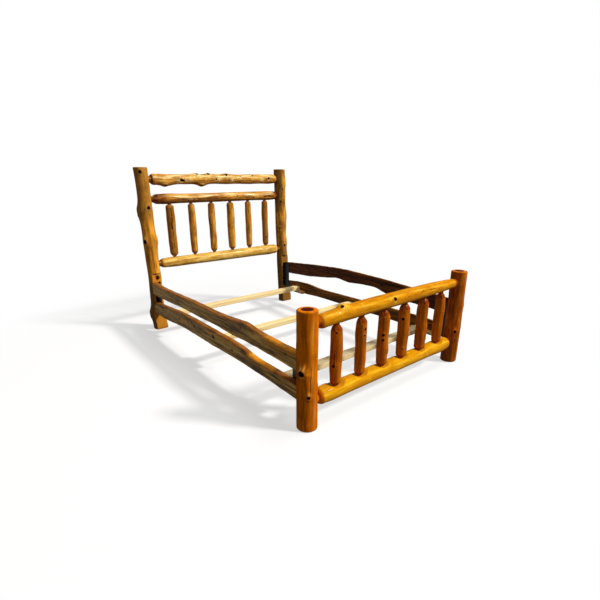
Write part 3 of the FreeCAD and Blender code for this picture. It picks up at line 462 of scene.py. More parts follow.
class Log:
    """A peeled log, carved from a blank by its table of girths and bends and by its knots."""

    def __init__(self, name, axis, start, finish, origin, radius, table, seed, around, rings,
                 end_length, end_rings, wobble, half=None):
        self.name = name
        self.axis = axis
        self.origin = np.array(origin)
        self.seed = seed
        self.bm = log_blank(start, finish, end_length, rings, end_rings, around)
        corners = np.array([vert.co[:] for vert in self.bm.verts])
        self.share = np.hypot(corners[:, 0], corners[:, 1])
        self.angle = np.arctan2(corners[:, 1], corners[:, 0])
        self.place = corners[:, 2]
        # Posts and spindles are tabled from 0 to 1, rails from -0.5 to 0.5 between their shoulders
        if half:
            keys = np.clip(self.place / (2.0 * half), -0.5, 0.5)
        else:
            keys = (self.place - start) / (finish - start)
        self.girth = curve_through(table, 1, keys) * radius
        self.first = curve_through(table, 2, keys) * radius
        self.second = curve_through(table, 3, keys) * radius
        skin = np.column_stack([np.cos(self.angle) * NOISE_RADIUS,
                                np.sin(self.angle) * NOISE_RADIUS, self.place])
        low = noise_at(skin, BROAD_LUMPS, seed)
        high = noise_at(skin, SMALL_LUMPS, seed + 11.0)
        ripple = noise_at(skin, RIPPLES, seed + 23.0)
        self.radius = self.girth * (1.0 + wobble * (low + 0.42 * high + 0.30 * ripple))
        # How much each point shows of a knot, of pale knot figure and painted highlight, of darker
        # wood and painted shade, and of a sawn cut
        self.knot, self.figure_and_highlight, self.stain_and_shade, self.sawn = np.zeros((4, len(self.place)))
        for add, rows in ((self.add_knot, KNOTS), (self.add_painted_highlight, PAINTED_HIGHLIGHTS),
                          (self.add_groove, CRACKS), (self.add_stain_and_shade, STAIN_AND_SHADE_BANDS)):
            for row in rows.get(name, []):
                add(*row)

    def around(self, angle):
        """How far round the log each point lies from an angle, in metres."""
        return np.angle(np.exp(1j * (self.angle - math.radians(angle)))) * self.girth

    def add_knot(self, place, angle, size, swell, dark):
        """A branch stub: a swollen collar, paler above, round a dark sunken heart. The pale part is
        wood figure painted brighter as a highlight where the stub catches the light.
        """
        place, size, swell = (length / 1000.0 for length in (place, size, swell))
        along = self.place - place
        turn = self.around(angle)
        bearing = np.arctan2(along, turn)
        ragged = 1.0 + 0.07 * np.sin(3.0 * bearing + 90.0 * place) + 0.07 * np.sin(
            7.0 * bearing + self.seed)
        distance = np.hypot(along * 0.85, turn) * ragged
        self.radius += swell * np.exp(-(distance / (size * 1.5)) ** 2)
        self.radius -= dark * (0.3 * swell + KNOT_SINK) * (
            1.0 - smooth(size * 0.35, size * 0.72, distance))
        self.knot = np.maximum(self.knot, dark * (
            1.0 - smooth(size * 0.25, size * 1.15, distance)))
        if self.axis == "z":
            above = np.hypot((along - size * 1.15) * 0.7, turn)
            below = np.hypot(along + size * 1.15, turn * 0.6)
        else:
            above = np.hypot(along, turn * 0.8 - size * 0.8)
            below = np.hypot(along * 0.6, turn + size * 1.15)
        # The pale rays are wood figure painted brighter as a highlight where the stub catches the
        # light
        rays = 0.62 + 0.38 * np.sin(11.0 * bearing + self.seed)
        collar_and_highlight = np.exp(-(above / (size * 0.9)) ** 2)
        collar_and_highlight = np.maximum(collar_and_highlight, 0.8 * np.exp(-(below / (size * 0.4)) ** 2))
        self.figure_and_highlight = np.maximum(self.figure_and_highlight, rays * collar_and_highlight)
        self.radius += 0.35 * swell * rays * collar_and_highlight

    def add_groove(self, place, length, angle, width, depth, dark=0.7):
        """A long drying crack or gouge along the log."""
        across = np.abs(self.around(angle) - width * 0.6 * np.sin(self.place * 38.0 + self.seed))
        along = np.abs(self.place - place)
        shape = (1.0 - smooth(width * 0.35, width, across)) * (
            1.0 - smooth(length * 0.30, length * 0.5, along))
        self.radius -= depth * shape
        self.knot = np.maximum(self.knot, shape * dark)

    def add_painted_highlight(self, angle, width, strength):
        """A painted highlight streak up the whole log, on the side that faces the light."""
        drift = np.abs(self.around(angle) - width * 1.2 * np.sin(self.place * 9.0 + self.seed))
        broken = 0.62 + 0.38 * np.sin(self.place * 27.0 + self.seed + angle)
        self.figure_and_highlight = np.maximum(self.figure_and_highlight, strength * broken * np.exp(-(drift / width) ** 2))

    def add_stain_and_shade(self, low, high, angle, width, strength):
        """Darker colour down one side of the log, between two places along it. It is darker wood in
        some rows and painted shade in others.
        """
        drift = np.abs(self.around(angle) + 0.007 * np.sin(self.place * 23.0 + self.seed))
        within = smooth(low - DARK_BAND_FADE, low + DARK_BAND_FADE, self.place) * (
            1.0 - smooth(high - DARK_BAND_FADE, high + DARK_BAND_FADE, self.place))
        self.stain_and_shade = np.maximum(self.stain_and_shade, strength * within * (
            1.0 - smooth(width * 0.6, width, drift)))

    def round_ends(self, ease):
        """Round over both ends."""
        edge = np.minimum(self.place - self.place.min(), self.place.max() - self.place)
        inside = ease - np.minimum(edge, ease)
        self.radius -= ease - np.sqrt(ease ** 2 - inside ** 2)

    def points(self):
        reach = self.radius * self.share
        first = self.first + np.cos(self.angle) * reach
        second = self.second + np.sin(self.angle) * reach
        if self.axis == "z":
            points = np.column_stack([first, second, self.place])
        else:
            points = np.column_stack([self.place, second, -first])
        return points + self.origin

    def finish(self, kind, material, points):
        """Hand the carved log over as the piece for its node of the bed's ends."""
        points = np.clip(points, np.array(cad_box[0]), np.array(cad_box[1]))
        for vert, point in zip(self.bm.verts, points):
            vert.co = point
        side = self.share > CAP_SHARE
        attributes = {"core": self.share * self.radius, "share": self.share, "cap": ~side}
        for key in ("knot", "figure_and_highlight", "stain_and_shade", "sawn"):
            attributes[key] = getattr(self, key) * side
        finish_piece(self.bm, self.name + "_log", "bed_ends", self.name, material,
                     attributes, LOG_SHARP_ANGLE)


# Posts

# Rings of each post: share of the height, girth, and offset to +X and +Y in radii
HEAD_LEFT = [
    (0, 1.14, 0.18, 0), (0.05, 1.13, 0.06, 0.02), (0.1, 1.14, -0.1, 0.04), (0.165, 1.03, 0, 0),
    (0.25, 1, 0.06, -0.02), (0.34, 0.98, 0.12, 0), (0.45, 0.96, 0.06, 0.03), (0.565, 1.04, 0.08, 0),
    (0.65, 0.98, 0.02, 0), (0.755, 1.06, -0.03, 0.02), (0.83, 0.97, 0.02, 0),
    (0.92, 0.96, 0, -0.02), (1, 0.99, -0.06, 0),
]
HEAD_RIGHT = [
    (0, 1.12, 0.42, 0), (0.05, 1.08, 0.36, 0), (0.13, 1, 0.18, 0), (0.24, 0.98, 0.06, 0.02),
    (0.345, 1.08, 0.1, 0), (0.41, 0.98, 0, 0), (0.52, 0.96, -0.12, 0.02), (0.62, 1.03, -0.12, 0),
    (0.73, 0.98, -0.2, 0), (0.85, 1.01, -0.23, -0.02), (1, 1.03, -0.28, 0),
]
FOOT_LEFT = [
    (0, 1.04, 0, 0), (0.25, 1.02, 0, 0.02), (0.5, 0.99, 0, 0), (0.75, 1.01, 0.01, 0),
    (1, 0.99, 0, 0),
]
FOOT_RIGHT = [
    (0, 1.02, -0.12, 0), (0.3, 1.03, -0.08, 0), (0.55, 0.99, -0.04, 0), (0.8, 0.97, -0.08, 0),
    (1, 0.96, -0.14, 0),
]

# Knots as height, angle from +X in degrees, size and swell, lengths in mm, and darkness
KNOTS.update({
    "head_post_left": [
        (1329, 246, 16, 4, 1), (1054, 277, 17, 5, 1), (780, 210, 20, 7, 1), (470, 278, 30, 4, 0.52),
        (421, 294, 14, 1, 1), (1020, 161, 28, 9, 0.2), (780, 340, 22, 7, 0.1),
        (140, 162, 26, 7, 0.1), (1130, 60, 15, 5, 1), (610, 95, 17, 5, 1), (1210, 10, 12, 3, 0.8),
        (300, 190, 12, 3, 0.6), (900, 120, 12, 3, 1), (1000, 283, 8, 1, 0.5),
    ],
    "head_post_right": [
        (930, 323, 30, 7, 0.1), (1235, 323, 22, 5, 0.1), (650, 318, 30, 7, 0.2),
        (795, 222, 11, 2, 0.9), (618, 268, 12, 3, 1), (1180, 262, 10, 2, 0.8),
        (1060, 240, 12, 3, 0.7), (700, 70, 17, 5, 1), (1120, 130, 15, 5, 1), (260, 245, 11, 2, 0.8),
        (880, 20, 14, 4, 1), (30, 345, 50, 16, 0),
    ],
    "foot_post_left": [
        (350, 202, 19, 16, 0.9), (214, 238, 11, 9, 1), (560, 75, 14, 3, 1), (250, 330, 12, 3, 0.9),
        (470, 135, 12, 2, 0.8), (600, 330, 9, 1, 0.7),
    ],
    "foot_post_right": [
        (242, 231, 13, 3, 1), (430, 320, 16, 4, 0.8), (540, 60, 14, 4, 1), (120, 10, 13, 3, 0.9),
        (340, 130, 12, 2, 0.8),
    ],
})
# Painted highlight streaks down the lit side of each post, as angle, width and strength, and cracks
# as place, length, angle, width and depth
PAINTED_HIGHLIGHTS.update({
    "head_post_left": [(300, 0.012, 0.5)],
    "head_post_right": [(300, 0.018, 0.9)],
    "foot_post_left": [(262, 0.01, 0.25)],
    "foot_post_right": [(280, 0.008, 0.9)],
})
CRACKS.update({
    "head_post_left": [(0.6, 0.3, 262, 0.0022, 0.002), (1.18, 0.22, 80, 0.002, 0.002)],
    "head_post_right": [(1.02, 0.34, 246, 0.0022, 0.002), (0.36, 0.26, 252, 0.002, 0.002)],
    "foot_post_left": [(0.3, 0.24, 249, 0.0022, 0.001), (0.52, 0.16, 60, 0.002, 0.002)],
    "foot_post_right": [(0.13, 0.16, 238, 0.0022, 0.002), (0.44, 0.2, 100, 0.002, 0.002)],
})
# Darker bands as low and high place, angle, width and strength. The wide bands on the head posts'
# and the right foot post's sides turned from the light are painted shade, and the bands under the
# head rails are partly darker heartwood and partly painted shade; the narrow lines, the spindle
# tops and the middle rail's maroon ends are darker wood.
STAIN_AND_SHADE_BANDS.update({
    "head_post_left": [(-0.1, 0.44, 205, 0.075, 0.85), (0.96, 1.5, 220, 0.13, 0.55)],
    "head_post_right": [(0.95, 1.5, 222, 0.048, 0.65), (-0.1, 0.6, 200, 0.06, 0.6)],
    "foot_post_right": [(-0.1, 0.22, 215, 0.08, 0.3), (-0.1, 0.7, 312, 0.016, 0.9)],
    "foot_post_left": [(-0.1, 0.8, 226, 0.008, 0.4), (-0.1, 0.3, 205, 0.007, 0.35)],
    "head_spindle_1": [(0.5, 1.2, 240, 0.06, 0.6)],
    "head_spindle_6": [(0.5, 1.2, 220, 0.05, 0.55)],
    "head_middle_rail": [
        (-0.7, 0.1, 308, 0.034, 0.7), (0.1, 0.7, 325, 0.024, 0.5), (0.52, 0.7, 254, 0.022, 1),
        (-0.7, -0.52, 270, 0.08, 0.9),
    ],
    "head_top_rail": [(-0.7, 0.7, 345, 0.026, 0.45)],
})
POST_RING_PITCH = 0.0036
POST_END_EASE = 0.008
SAWN_FLAT_TONE = 0.95


def make_post(name, side, end, height, radius, table, seed):
    """A post, sawn flat on its inner side where a side rail butts on it."""
    log = Log(name, "z", 0.0, height, (side * POST_X, end * POST_Y, 0.0), radius, table, seed,
              around=132, rings=int(height / POST_RING_PITCH), end_length=0.016, end_rings=10,
              wobble=0.020)
    log.round_ends(POST_END_EASE)
    points = log.points()
    flat = end * (POST_Y - CARVED_FLAT_OFFSET)
    sawn = (points[:, 2] < FLAT_TOP) & ((points[:, 1] - flat) * -end > 0.0)
    points[sawn, 1] = flat
    log.sawn[sawn] = SAWN_FLAT_TONE
    log.finish("post", MATERIALS[name], points)


make_post("head_post_left", -1, 1, HEAD_HEIGHT, HEAD_RADIUS, HEAD_LEFT, 17.0)
make_post("head_post_right", 1, 1, HEAD_HEIGHT, HEAD_RADIUS, HEAD_RIGHT, 22.0)
make_post("foot_post_left", -1, -1, FOOT_HEIGHT, FOOT_RADIUS, FOOT_LEFT, 7.0)
make_post("foot_post_right", 1, -1, FOOT_HEIGHT, FOOT_RADIUS, FOOT_RIGHT, 12.0)


# Rails

# Rings of each rail: share of the length between its shoulders, girth, and offset down and
# toward the head in radii
HEAD_TOP = [
    (-0.5, 0.84, 0, 0), (-0.49, 1, 0, 0), (-0.465, 1.03, 0, 0), (-0.4, 1.08, 0.1, 0),
    (-0.33, 0.98, 0, 0.03), (-0.26, 0.97, 0, -0.04), (-0.175, 1.06, 0, 0), (-0.14, 1.12, 0.16, 0),
    (-0.09, 1.04, -0.04, 0), (0, 0.98, 0, 0.04), (0.05, 1.07, -0.06, 0), (0.13, 0.98, 0, 0),
    (0.25, 1.04, 0, -0.03), (0.36, 1, 0, 0), (0.46, 1, 0, 0), (0.488, 0.88, 0, 0),
    (0.5, 0.68, 0, 0),
]
HEAD_MIDDLE = [
    (-0.5, 0.72, 0, 0), (-0.486, 0.92, 0, 0), (-0.455, 1.02, 0, 0), (-0.3, 0.99, 0.02, 0.02),
    (0, 1, 0, -0.02), (0.3, 1.01, -0.02, 0), (0.455, 1, 0, 0), (0.486, 0.9, 0, 0),
    (0.5, 0.72, 0, 0),
]
HEAD_BOTTOM = [
    (-0.5, 0.66, 0, 0), (-0.486, 0.86, 0, 0), (-0.455, 0.94, 0, 0), (-0.3, 0.98, 0, 0),
    (0, 1.02, 0.02, 0.02), (0.3, 1.05, 0, 0), (0.455, 1.05, 0, 0), (0.486, 0.92, 0, 0),
    (0.5, 0.66, 0, 0),
]
FOOT_TOP = [
    (-0.5, 0.68, 0.22, 0), (-0.488, 0.82, 0.2, 0), (-0.45, 0.88, 0.12, 0), (-0.395, 0.93, 0.04, 0),
    (-0.357, 1, -0.04, 0), (-0.31, 0.97, -0.02, 0.02), (-0.2, 1, -0.06, 0), (0, 1, -0.02, -0.02),
    (0.2, 0.96, 0, 0), (0.34, 0.9, 0.02, 0), (0.45, 0.78, 0.06, 0), (0.486, 0.72, 0.08, 0),
    (0.5, 0.66, 0.1, 0),
]
FOOT_BOTTOM = [
    (-0.5, 0.78, -0.06, 0), (-0.492, 0.93, -0.08, 0), (-0.472, 1, -0.1, 0), (-0.3, 1, -0.06, 0),
    (0, 1, -0.02, 0.02), (0.3, 0.98, 0, 0), (0.46, 0.97, 0, 0), (0.488, 0.84, 0, 0),
    (0.5, 0.62, 0, 0),
]

# Name, end, height, radius, post radius, table, and the length of each darker cut end
RAILS = [
    ("head_top_rail", 1, 1.273, 0.042, HEAD_RADIUS, HEAD_TOP, 0.012),
    ("head_middle_rail", 1, 1.118, 0.040, HEAD_RADIUS, HEAD_MIDDLE, 0.085),
    ("head_bottom_rail", 1, 0.582, 0.044, HEAD_RADIUS, HEAD_BOTTOM, 0.020),
    ("foot_top_rail", -1, 0.601, 0.044, FOOT_RADIUS, FOOT_TOP, 0.020),
    ("foot_bottom_rail", -1, 0.157, 0.048, FOOT_RADIUS, FOOT_BOTTOM, 0.024),
]
# Knots as place, angle from straight down toward the head, size and swell, lengths in mm,
# and darkness
KNOTS.update({
    "head_top_rail": [
        (-518, 340, 20, 9, 0.7), (-192, 340, 21, 10, 0.6), (-228, 213, 13, 8, 0.9),
        (-117, 210, 17, 9, 0.9), (-412, 270, 20, 8, 0), (-388, 268, 16, 8, 0),
        (-340, 262, 14, 5, 0), (-300, 246, 20, 5, 0), (-20, 236, 22, 6, 0), (110, 256, 20, 6, 0),
        (440, 244, 24, 6, 0), (-462, 345, 8, 2, 1), (55, 226, 15, 8, 0.9), (-51, 272, 9, 1, 1),
        (520, 262, 14, 3, 1), (340, 227, 11, 3, 0.9), (150, 300, 10, 2, 0.9),
        (207, 240, 10, 2, 0.5), (-300, 100, 14, 4, 1), (260, 80, 15, 4, 1), (440, 310, 10, 2, 0.6),
    ],
    "head_middle_rail": [
        (158, 262, 9, 1, 0.9), (-330, 300, 12, 2, 0.6), (340, 285, 10, 2, 0.8),
        (-100, 90, 13, 3, 1), (420, 110, 12, 3, 1), (-180, 300, 12, 2, 0.5),
    ],
    "head_bottom_rail": [
        (-380, 262, 9, 1, 0.5), (80, 285, 8, 1, 0.5), (-200, 95, 12, 3, 0.9), (330, 70, 12, 3, 0.9),
    ],
    "foot_top_rail": [
        (-452, 182, 20, 10, 0), (-474, 198, 11, 3, 1), (-62, 248, 15, 3, 1), (-100, 232, 8, 1, 0.2),
        (226, 240, 6, 1, 0.6), (401, 268, 6, 1, 0.8), (-300, 100, 13, 3, 1), (180, 85, 14, 3, 1),
        (-330, 222, 7, 1, 0.3),
    ],
    "foot_bottom_rail": [
        (-250, 255, 7, 1, 0.3), (60, 245, 7, 1, 0.4), (330, 262, 8, 1, 0.3), (-420, 95, 13, 3, 1),
        (210, 80, 13, 3, 1),
    ],
})
# Cracks and gashes as place, length, angle, width, depth and darkness
CRACKS.update({
    "head_top_rail": [
        (-0.376, 0.05, 289, 0.013, 0.01, 1), (0.28, 0.16, 292, 0.002, 0.002, 0.7),
        (-0.12, 0.14, 288, 0.002, 0.002, 0.7),
    ],
    "head_middle_rail": [
        (0.505, 0.13, 280, 0.01, 0.003, 0.5), (-0.18, 0.6, 278, 0.003, 0.003, 0.8),
        (0.25, 0.3, 286, 0.0025, 0.002, 0.7),
    ],
    "head_bottom_rail": [(0.1, 0.4, 284, 0.0016, 0.001, 0.5)],
    "foot_top_rail": [(0.28, 0.22, 250, 0.0016, 0.001, 0.8), (0.1, 0.12, 258, 0.0014, 0.001, 0.6)],
    "foot_bottom_rail": [(0.2, 0.16, 250, 0.0014, 0.001, 0.5)],
})
# Painted highlight streaks along the upper front, as angle, width and strength
PAINTED_HIGHLIGHTS.update({
    "head_top_rail": [(232, 0.008, 1), (254, 0.0025, 0.7)],
    "head_middle_rail": [(240, 0.008, 1), (222, 0.003, 0.8)],
    "head_bottom_rail": [(236, 0.005, 0.7)],
    "foot_top_rail": [(232, 0.005, 0.6)],
    "foot_bottom_rail": [(238, 0.0065, 0.8)],
})
RAIL_WOBBLE = {"head_top_rail": 0.042, "head_middle_rail": 0.030, "head_bottom_rail": 0.018,
               "foot_top_rail": 0.020, "foot_bottom_rail": 0.010}
SPINDLE_PLACES = [SPINDLE_SPACING * step for step in (-2.5, -1.5, -0.5, 0.5, 1.5, 2.5)]
# Where a rail turns into its tenon, measured past its shoulder
SHOULDER = (-0.001, 0.003)
# Each pad is level in its middle, climbs to its reach, and ends half way to the next
PAD_LEVEL = 0.012
PAD_REACH = 0.074
PAD_TONE = 0.8


def make_rail(name, end, height, radius, post_radius, table, cut_end, seed):
    """A rail with rounded shoulders, on round tenons that run to the middle of each post."""
    half = POST_X - post_radius - RAIL_END_GAP
    log = Log(name, "x", -POST_X, POST_X, (0.0, end * POST_Y, height), radius, table, seed,
              around=88, rings=300, end_length=0.125, end_rings=46, wobble=RAIL_WOBBLE[name],
              half=half)
    past = np.abs(log.place) - half
    tenon = smooth(*SHOULDER, past)
    log.radius = lerp(log.radius, TENON_RADIUS, tenon)
    log.first *= 1.0 - tenon
    log.second *= 1.0 - tenon
    log.stain_and_shade = np.maximum(log.stain_and_shade, smooth(-cut_end, -cut_end * 0.3, past))
    points = log.points()
    if name == "foot_bottom_rail":
        # Each spindle stands on a pad scooped out of the rail's top
        for place in SPINDLE_PLACES:
            across = np.abs(points[:, 0] - place)
            pad = height + radius - SCOOP_DEPTH + SCOOP_DEPTH * 1.1 * smooth(
                PAD_LEVEL, PAD_REACH, across)
            scooped = (across < SPINDLE_SPACING / 2.0) & (points[:, 2] > pad)
            points[scooped, 2] = pad[scooped]
            log.sawn[scooped] = PAD_TONE
    log.finish("rail", MATERIALS[name], points)


for number, row in enumerate(RAILS):
    make_rail(*row, 20.0 + number * 3.0)


# Spindles

# Each bed end's direction along Y, and its spindles' low and high end, radius, tapers at the low
# and the high end, facets of the knife cuts, first seed and girths
SPINDLES = {
    "head": (1, 0.6282, 1.0760, 0.0322, 0.034, 0.024, 9, 40.0,
             (1.12, 0.94, 0.98, 1.07, 0.92, 0.95)),
    "foot": (-1, 0.1880, 0.5561, 0.034, 0.026, 0.040, 7, 60.0,
             (0.98, 0.96, 1.00, 1.04, 1.07, 0.97)),
}
SPINDLE_BEND = 0.05
CONE_CURVE = 2.3
CONE_STAIN = 0.7
# Knots and cracks of single spindles, numbered from the left as the bed is seen from its foot
KNOTS.update({
    "head_spindle_1": [(720, 100, 10, 2, 1)],
    "head_spindle_3": [(900, 70, 9, 2, 0.9)],
    "head_spindle_4": [(700, 290, 9, 2, 0.3), (980, 110, 9, 2, 0.9)],
    "head_spindle_6": [(717, 250, 9, 1, 1)],
    "foot_spindle_1": [(513, 225, 9, 1, 0.6), (318, 206, 14, 5, 0.45), (400, 350, 12, 4, 0.2)],
    "foot_spindle_2": [(486, 268, 9, 2, 0.9), (448, 262, 7, 1, 0.8), (300, 100, 10, 2, 1)],
    "foot_spindle_3": [
        (404, 222, 11, 2, 1), (372, 224, 10, 2, 1), (300, 300, 16, 5, 0.1), (500, 280, 14, 4, 0.2),
        (245, 270, 12, 3, 0.3),
    ],
    "foot_spindle_4": [(462, 208, 11, 2, 1), (260, 230, 10, 1, 0.4)],
    "foot_spindle_5": [(360, 300, 14, 3, 0.2), (430, 80, 10, 2, 1)],
    "foot_spindle_6": [(300, 120, 10, 2, 1), (420, 250, 8, 1, 0.4)],
})
CRACKS.update({
    "head_spindle_1": [
        (0.915, 0.13, 258, 0.0055, 0.007, 1), (0.8, 0.24, 262, 0.0022, 0.003, 0.9),
        (1.01, 0.09, 262, 0.003, 0.004, 1),
    ],
    "foot_spindle_1": [(0.35, 0.1, 212, 0.003, 0.002, 0.8)],
    "foot_spindle_5": [(0.4, 0.18, 240, 0.0014, 0.001, 0.6)],
})


def make_spindle(end_name, number, place, end, low, high, radius, low_taper, high_taper, facets,
                 seed):
    """A spindle whose ends are knife-cut to blunt, faceted cones."""
    start = low - SPINDLE_SUNK
    finish = high + SPINDLE_SUNK
    length = finish - start
    neck = SPINDLE_SUNK + SPINDLE_NECK
    full = neck + max(low_taper, high_taper)
    bend = [math.sin(seed * 2.3 + step) * SPINDLE_BEND for step in range(3)]
    table = [
        (0.0, 1.0, 0, 0), (full / length, 0.97, 0, 0), (0.30, 1.02, bend[0], bend[1]),
        (0.50, 1.00 + bend[2], bend[1], 0), (0.70, 1.03, bend[2], bend[0]),
        (1.0 - full / length, 0.97, 0, 0), (1.0, 1.0, 0, 0),
    ]
    log = Log("%s_spindle_%d" % (end_name, number), "z", start, finish,
              (place, end * POST_Y, 0.0), radius, table, seed, around=64, rings=90,
              end_length=full + 0.006, end_rings=26, wobble=0.030)
    inner = np.minimum(log.place - start, finish - log.place)
    taper = np.where(log.place < (start + finish) / 2.0, low_taper, high_taper)
    # The cone's cut leaves the neck at once and rounds into the bark side
    cut = np.clip((inner - neck) / taper, 0.0, 1.0)
    bullet = lerp(SPINDLE_TENON / radius, 1.0, 1.0 - (1.0 - cut) ** CONE_CURVE)
    step = math.tau / facets
    across = np.mod(log.angle + seed + 0.3 * np.sin(log.place * 60.0), step) - step * 0.5
    flats = math.cos(step * 0.5) / np.cos(across)
    on_cone = smooth(0.02, 0.20, cut) * (1.0 - smooth(0.75, 1.0, cut))
    log.radius *= bullet * lerp(1.0, flats * 1.02, on_cone)
    log.stain_and_shade = np.maximum(log.stain_and_shade, CONE_STAIN - CONE_STAIN * smooth(0.60, 1.0, cut))
    log.finish("spindle", MATERIALS[end_name + "_spindle"], log.points())


for number, place in enumerate(SPINDLE_PLACES):
    for end_name, (end, low, high, radius, *cuts, first_seed, girths) in SPINDLES.items():
        make_spindle(end_name, number + 1, place, end, low, high, radius * girths[number], *cuts,
                     first_seed + number)


# Live-edge slabs

# Stations of each slab: share of the length, and the lower and upper edge in half widths
LEFT_UPPER = [
    (-1, -1.54, 1.1), (-0.78, -1.4, 1.1), (-0.62, -1.28, 1.3), (-0.49, -1.28, 1.6),
    (-0.38, -1.36, 1.38), (-0.14, -1.26, 1.12), (0.14, -1.36, 1.12), (0.38, -1.36, 1),
    (0.7, -1.62, 0.84), (1, -1.66, 1.02),
]
LEFT_LOWER = [
    (-1, -1.42, 1), (-0.76, -1.14, 1.06), (-0.56, -1.02, 1.22), (-0.46, -0.98, 1.56),
    (-0.22, -1.04, 1.76), (0, -1.08, 1.78), (0.2, -1.04, 1.82), (0.44, -1.1, 1.72),
    (0.74, -1.5, 1.32), (1, -1.6, 1.04),
]
RIGHT_UPPER = [
    (-1, -1, 1.5), (-0.65, -0.86, 1.8), (-0.37, -0.34, 2.06), (-0.3, 0.06, 2.1), (-0.17, 0.1, 2.2),
    (0.06, -0.16, 2.26), (0.19, 0.08, 2.22), (0.31, -0.28, 2.1), (0.59, -0.98, 1.74), (1, -1.44, 1),
]
RIGHT_LOWER = [
    (-1, -1.34, 0.96), (-0.7, -1.24, 1.1), (-0.45, -1.12, 1.08), (-0.1, -1.16, 0.98),
    (0.18, -1.1, 0.9), (0.45, -1.12, 0.86), (0.62, -1.28, 1.16), (0.76, -1.24, 1.06),
    (1, -1.32, 0.66),
]
SLAB_HALF_WIDTH = 0.050
SLAB_HALF_LENGTH = POST_Y - FLAT_OFFSET - SLAB_END_GAP
# Cuts along the length, the height and the thickness, each with its axis
SLAB_CUTS = ((1, 400), (2, 14), (0, 6))
LIVE_SLANT = 0.018
LIVE_BUMPS = 0.0030
LIVE_ROUND = 0.0040
# How deep the carved face lies under the board's: at least, by its grain, along the live edges
# and in a knot
FACE_HOLLOW = 0.0008
GRAIN_HOLLOW = 0.0007
LIVE_HOLLOW = 0.0020
KNOT_HOLLOW = 0.0012
SLAB_SHARP_ANGLE = 38
UPPER_HEIGHT = 0.392
LOWER_HEIGHT = 0.214

# Knots on the outer (1) or inner (0) face as place along the bed, height, size and face
SLAB_KNOTS = {
    "left_lower_slab": [
        (0.48, 0.24, 0.011, 1), (0.25, 0.268, 0.01, 1), (0.215, 0.245, 0.012, 1),
        (-0.077, 0.252, 0.018, 1), (-0.329, 0.234, 0.011, 1), (-0.455, 0.282, 0.012, 1),
        (-0.74, 0.262, 0.01, 1), (0.42, 0.215, 0.012, 0), (-0.5, 0.23, 0.014, 0),
    ],
    "left_upper_slab": [
        (-0.448, 0.425, 0.008, 1), (-0.897, 0.4, 0.01, 1), (0.206, 0.39, 0.007, 1),
        (0.6, 0.35, 0.012, 0), (-0.3, 0.395, 0.013, 0),
    ],
    "right_upper_slab": [
        (0.3, 0.44, 0.014, 0), (-0.35, 0.44, 0.013, 0), (0.7, 0.4, 0.012, 1), (-0.6, 0.4, 0.014, 1),
        (0.1, 0.45, 0.014, 1),
    ],
    "right_lower_slab": [
        (0.1, 0.215, 0.012, 0), (-0.45, 0.21, 0.013, 0), (0.55, 0.205, 0.013, 1),
        (-0.15, 0.215, 0.012, 1),
    ],
}

# Painted patch of sunlight along the top near the foot, as lowest share of the height, place, reach
# and strength
PAINTED_SUN_PATCH = {"left_lower_slab": (0.80, -0.645, 0.150, 1.0),
           "left_upper_slab": (0.50, -0.840, 0.170, 0.55)}


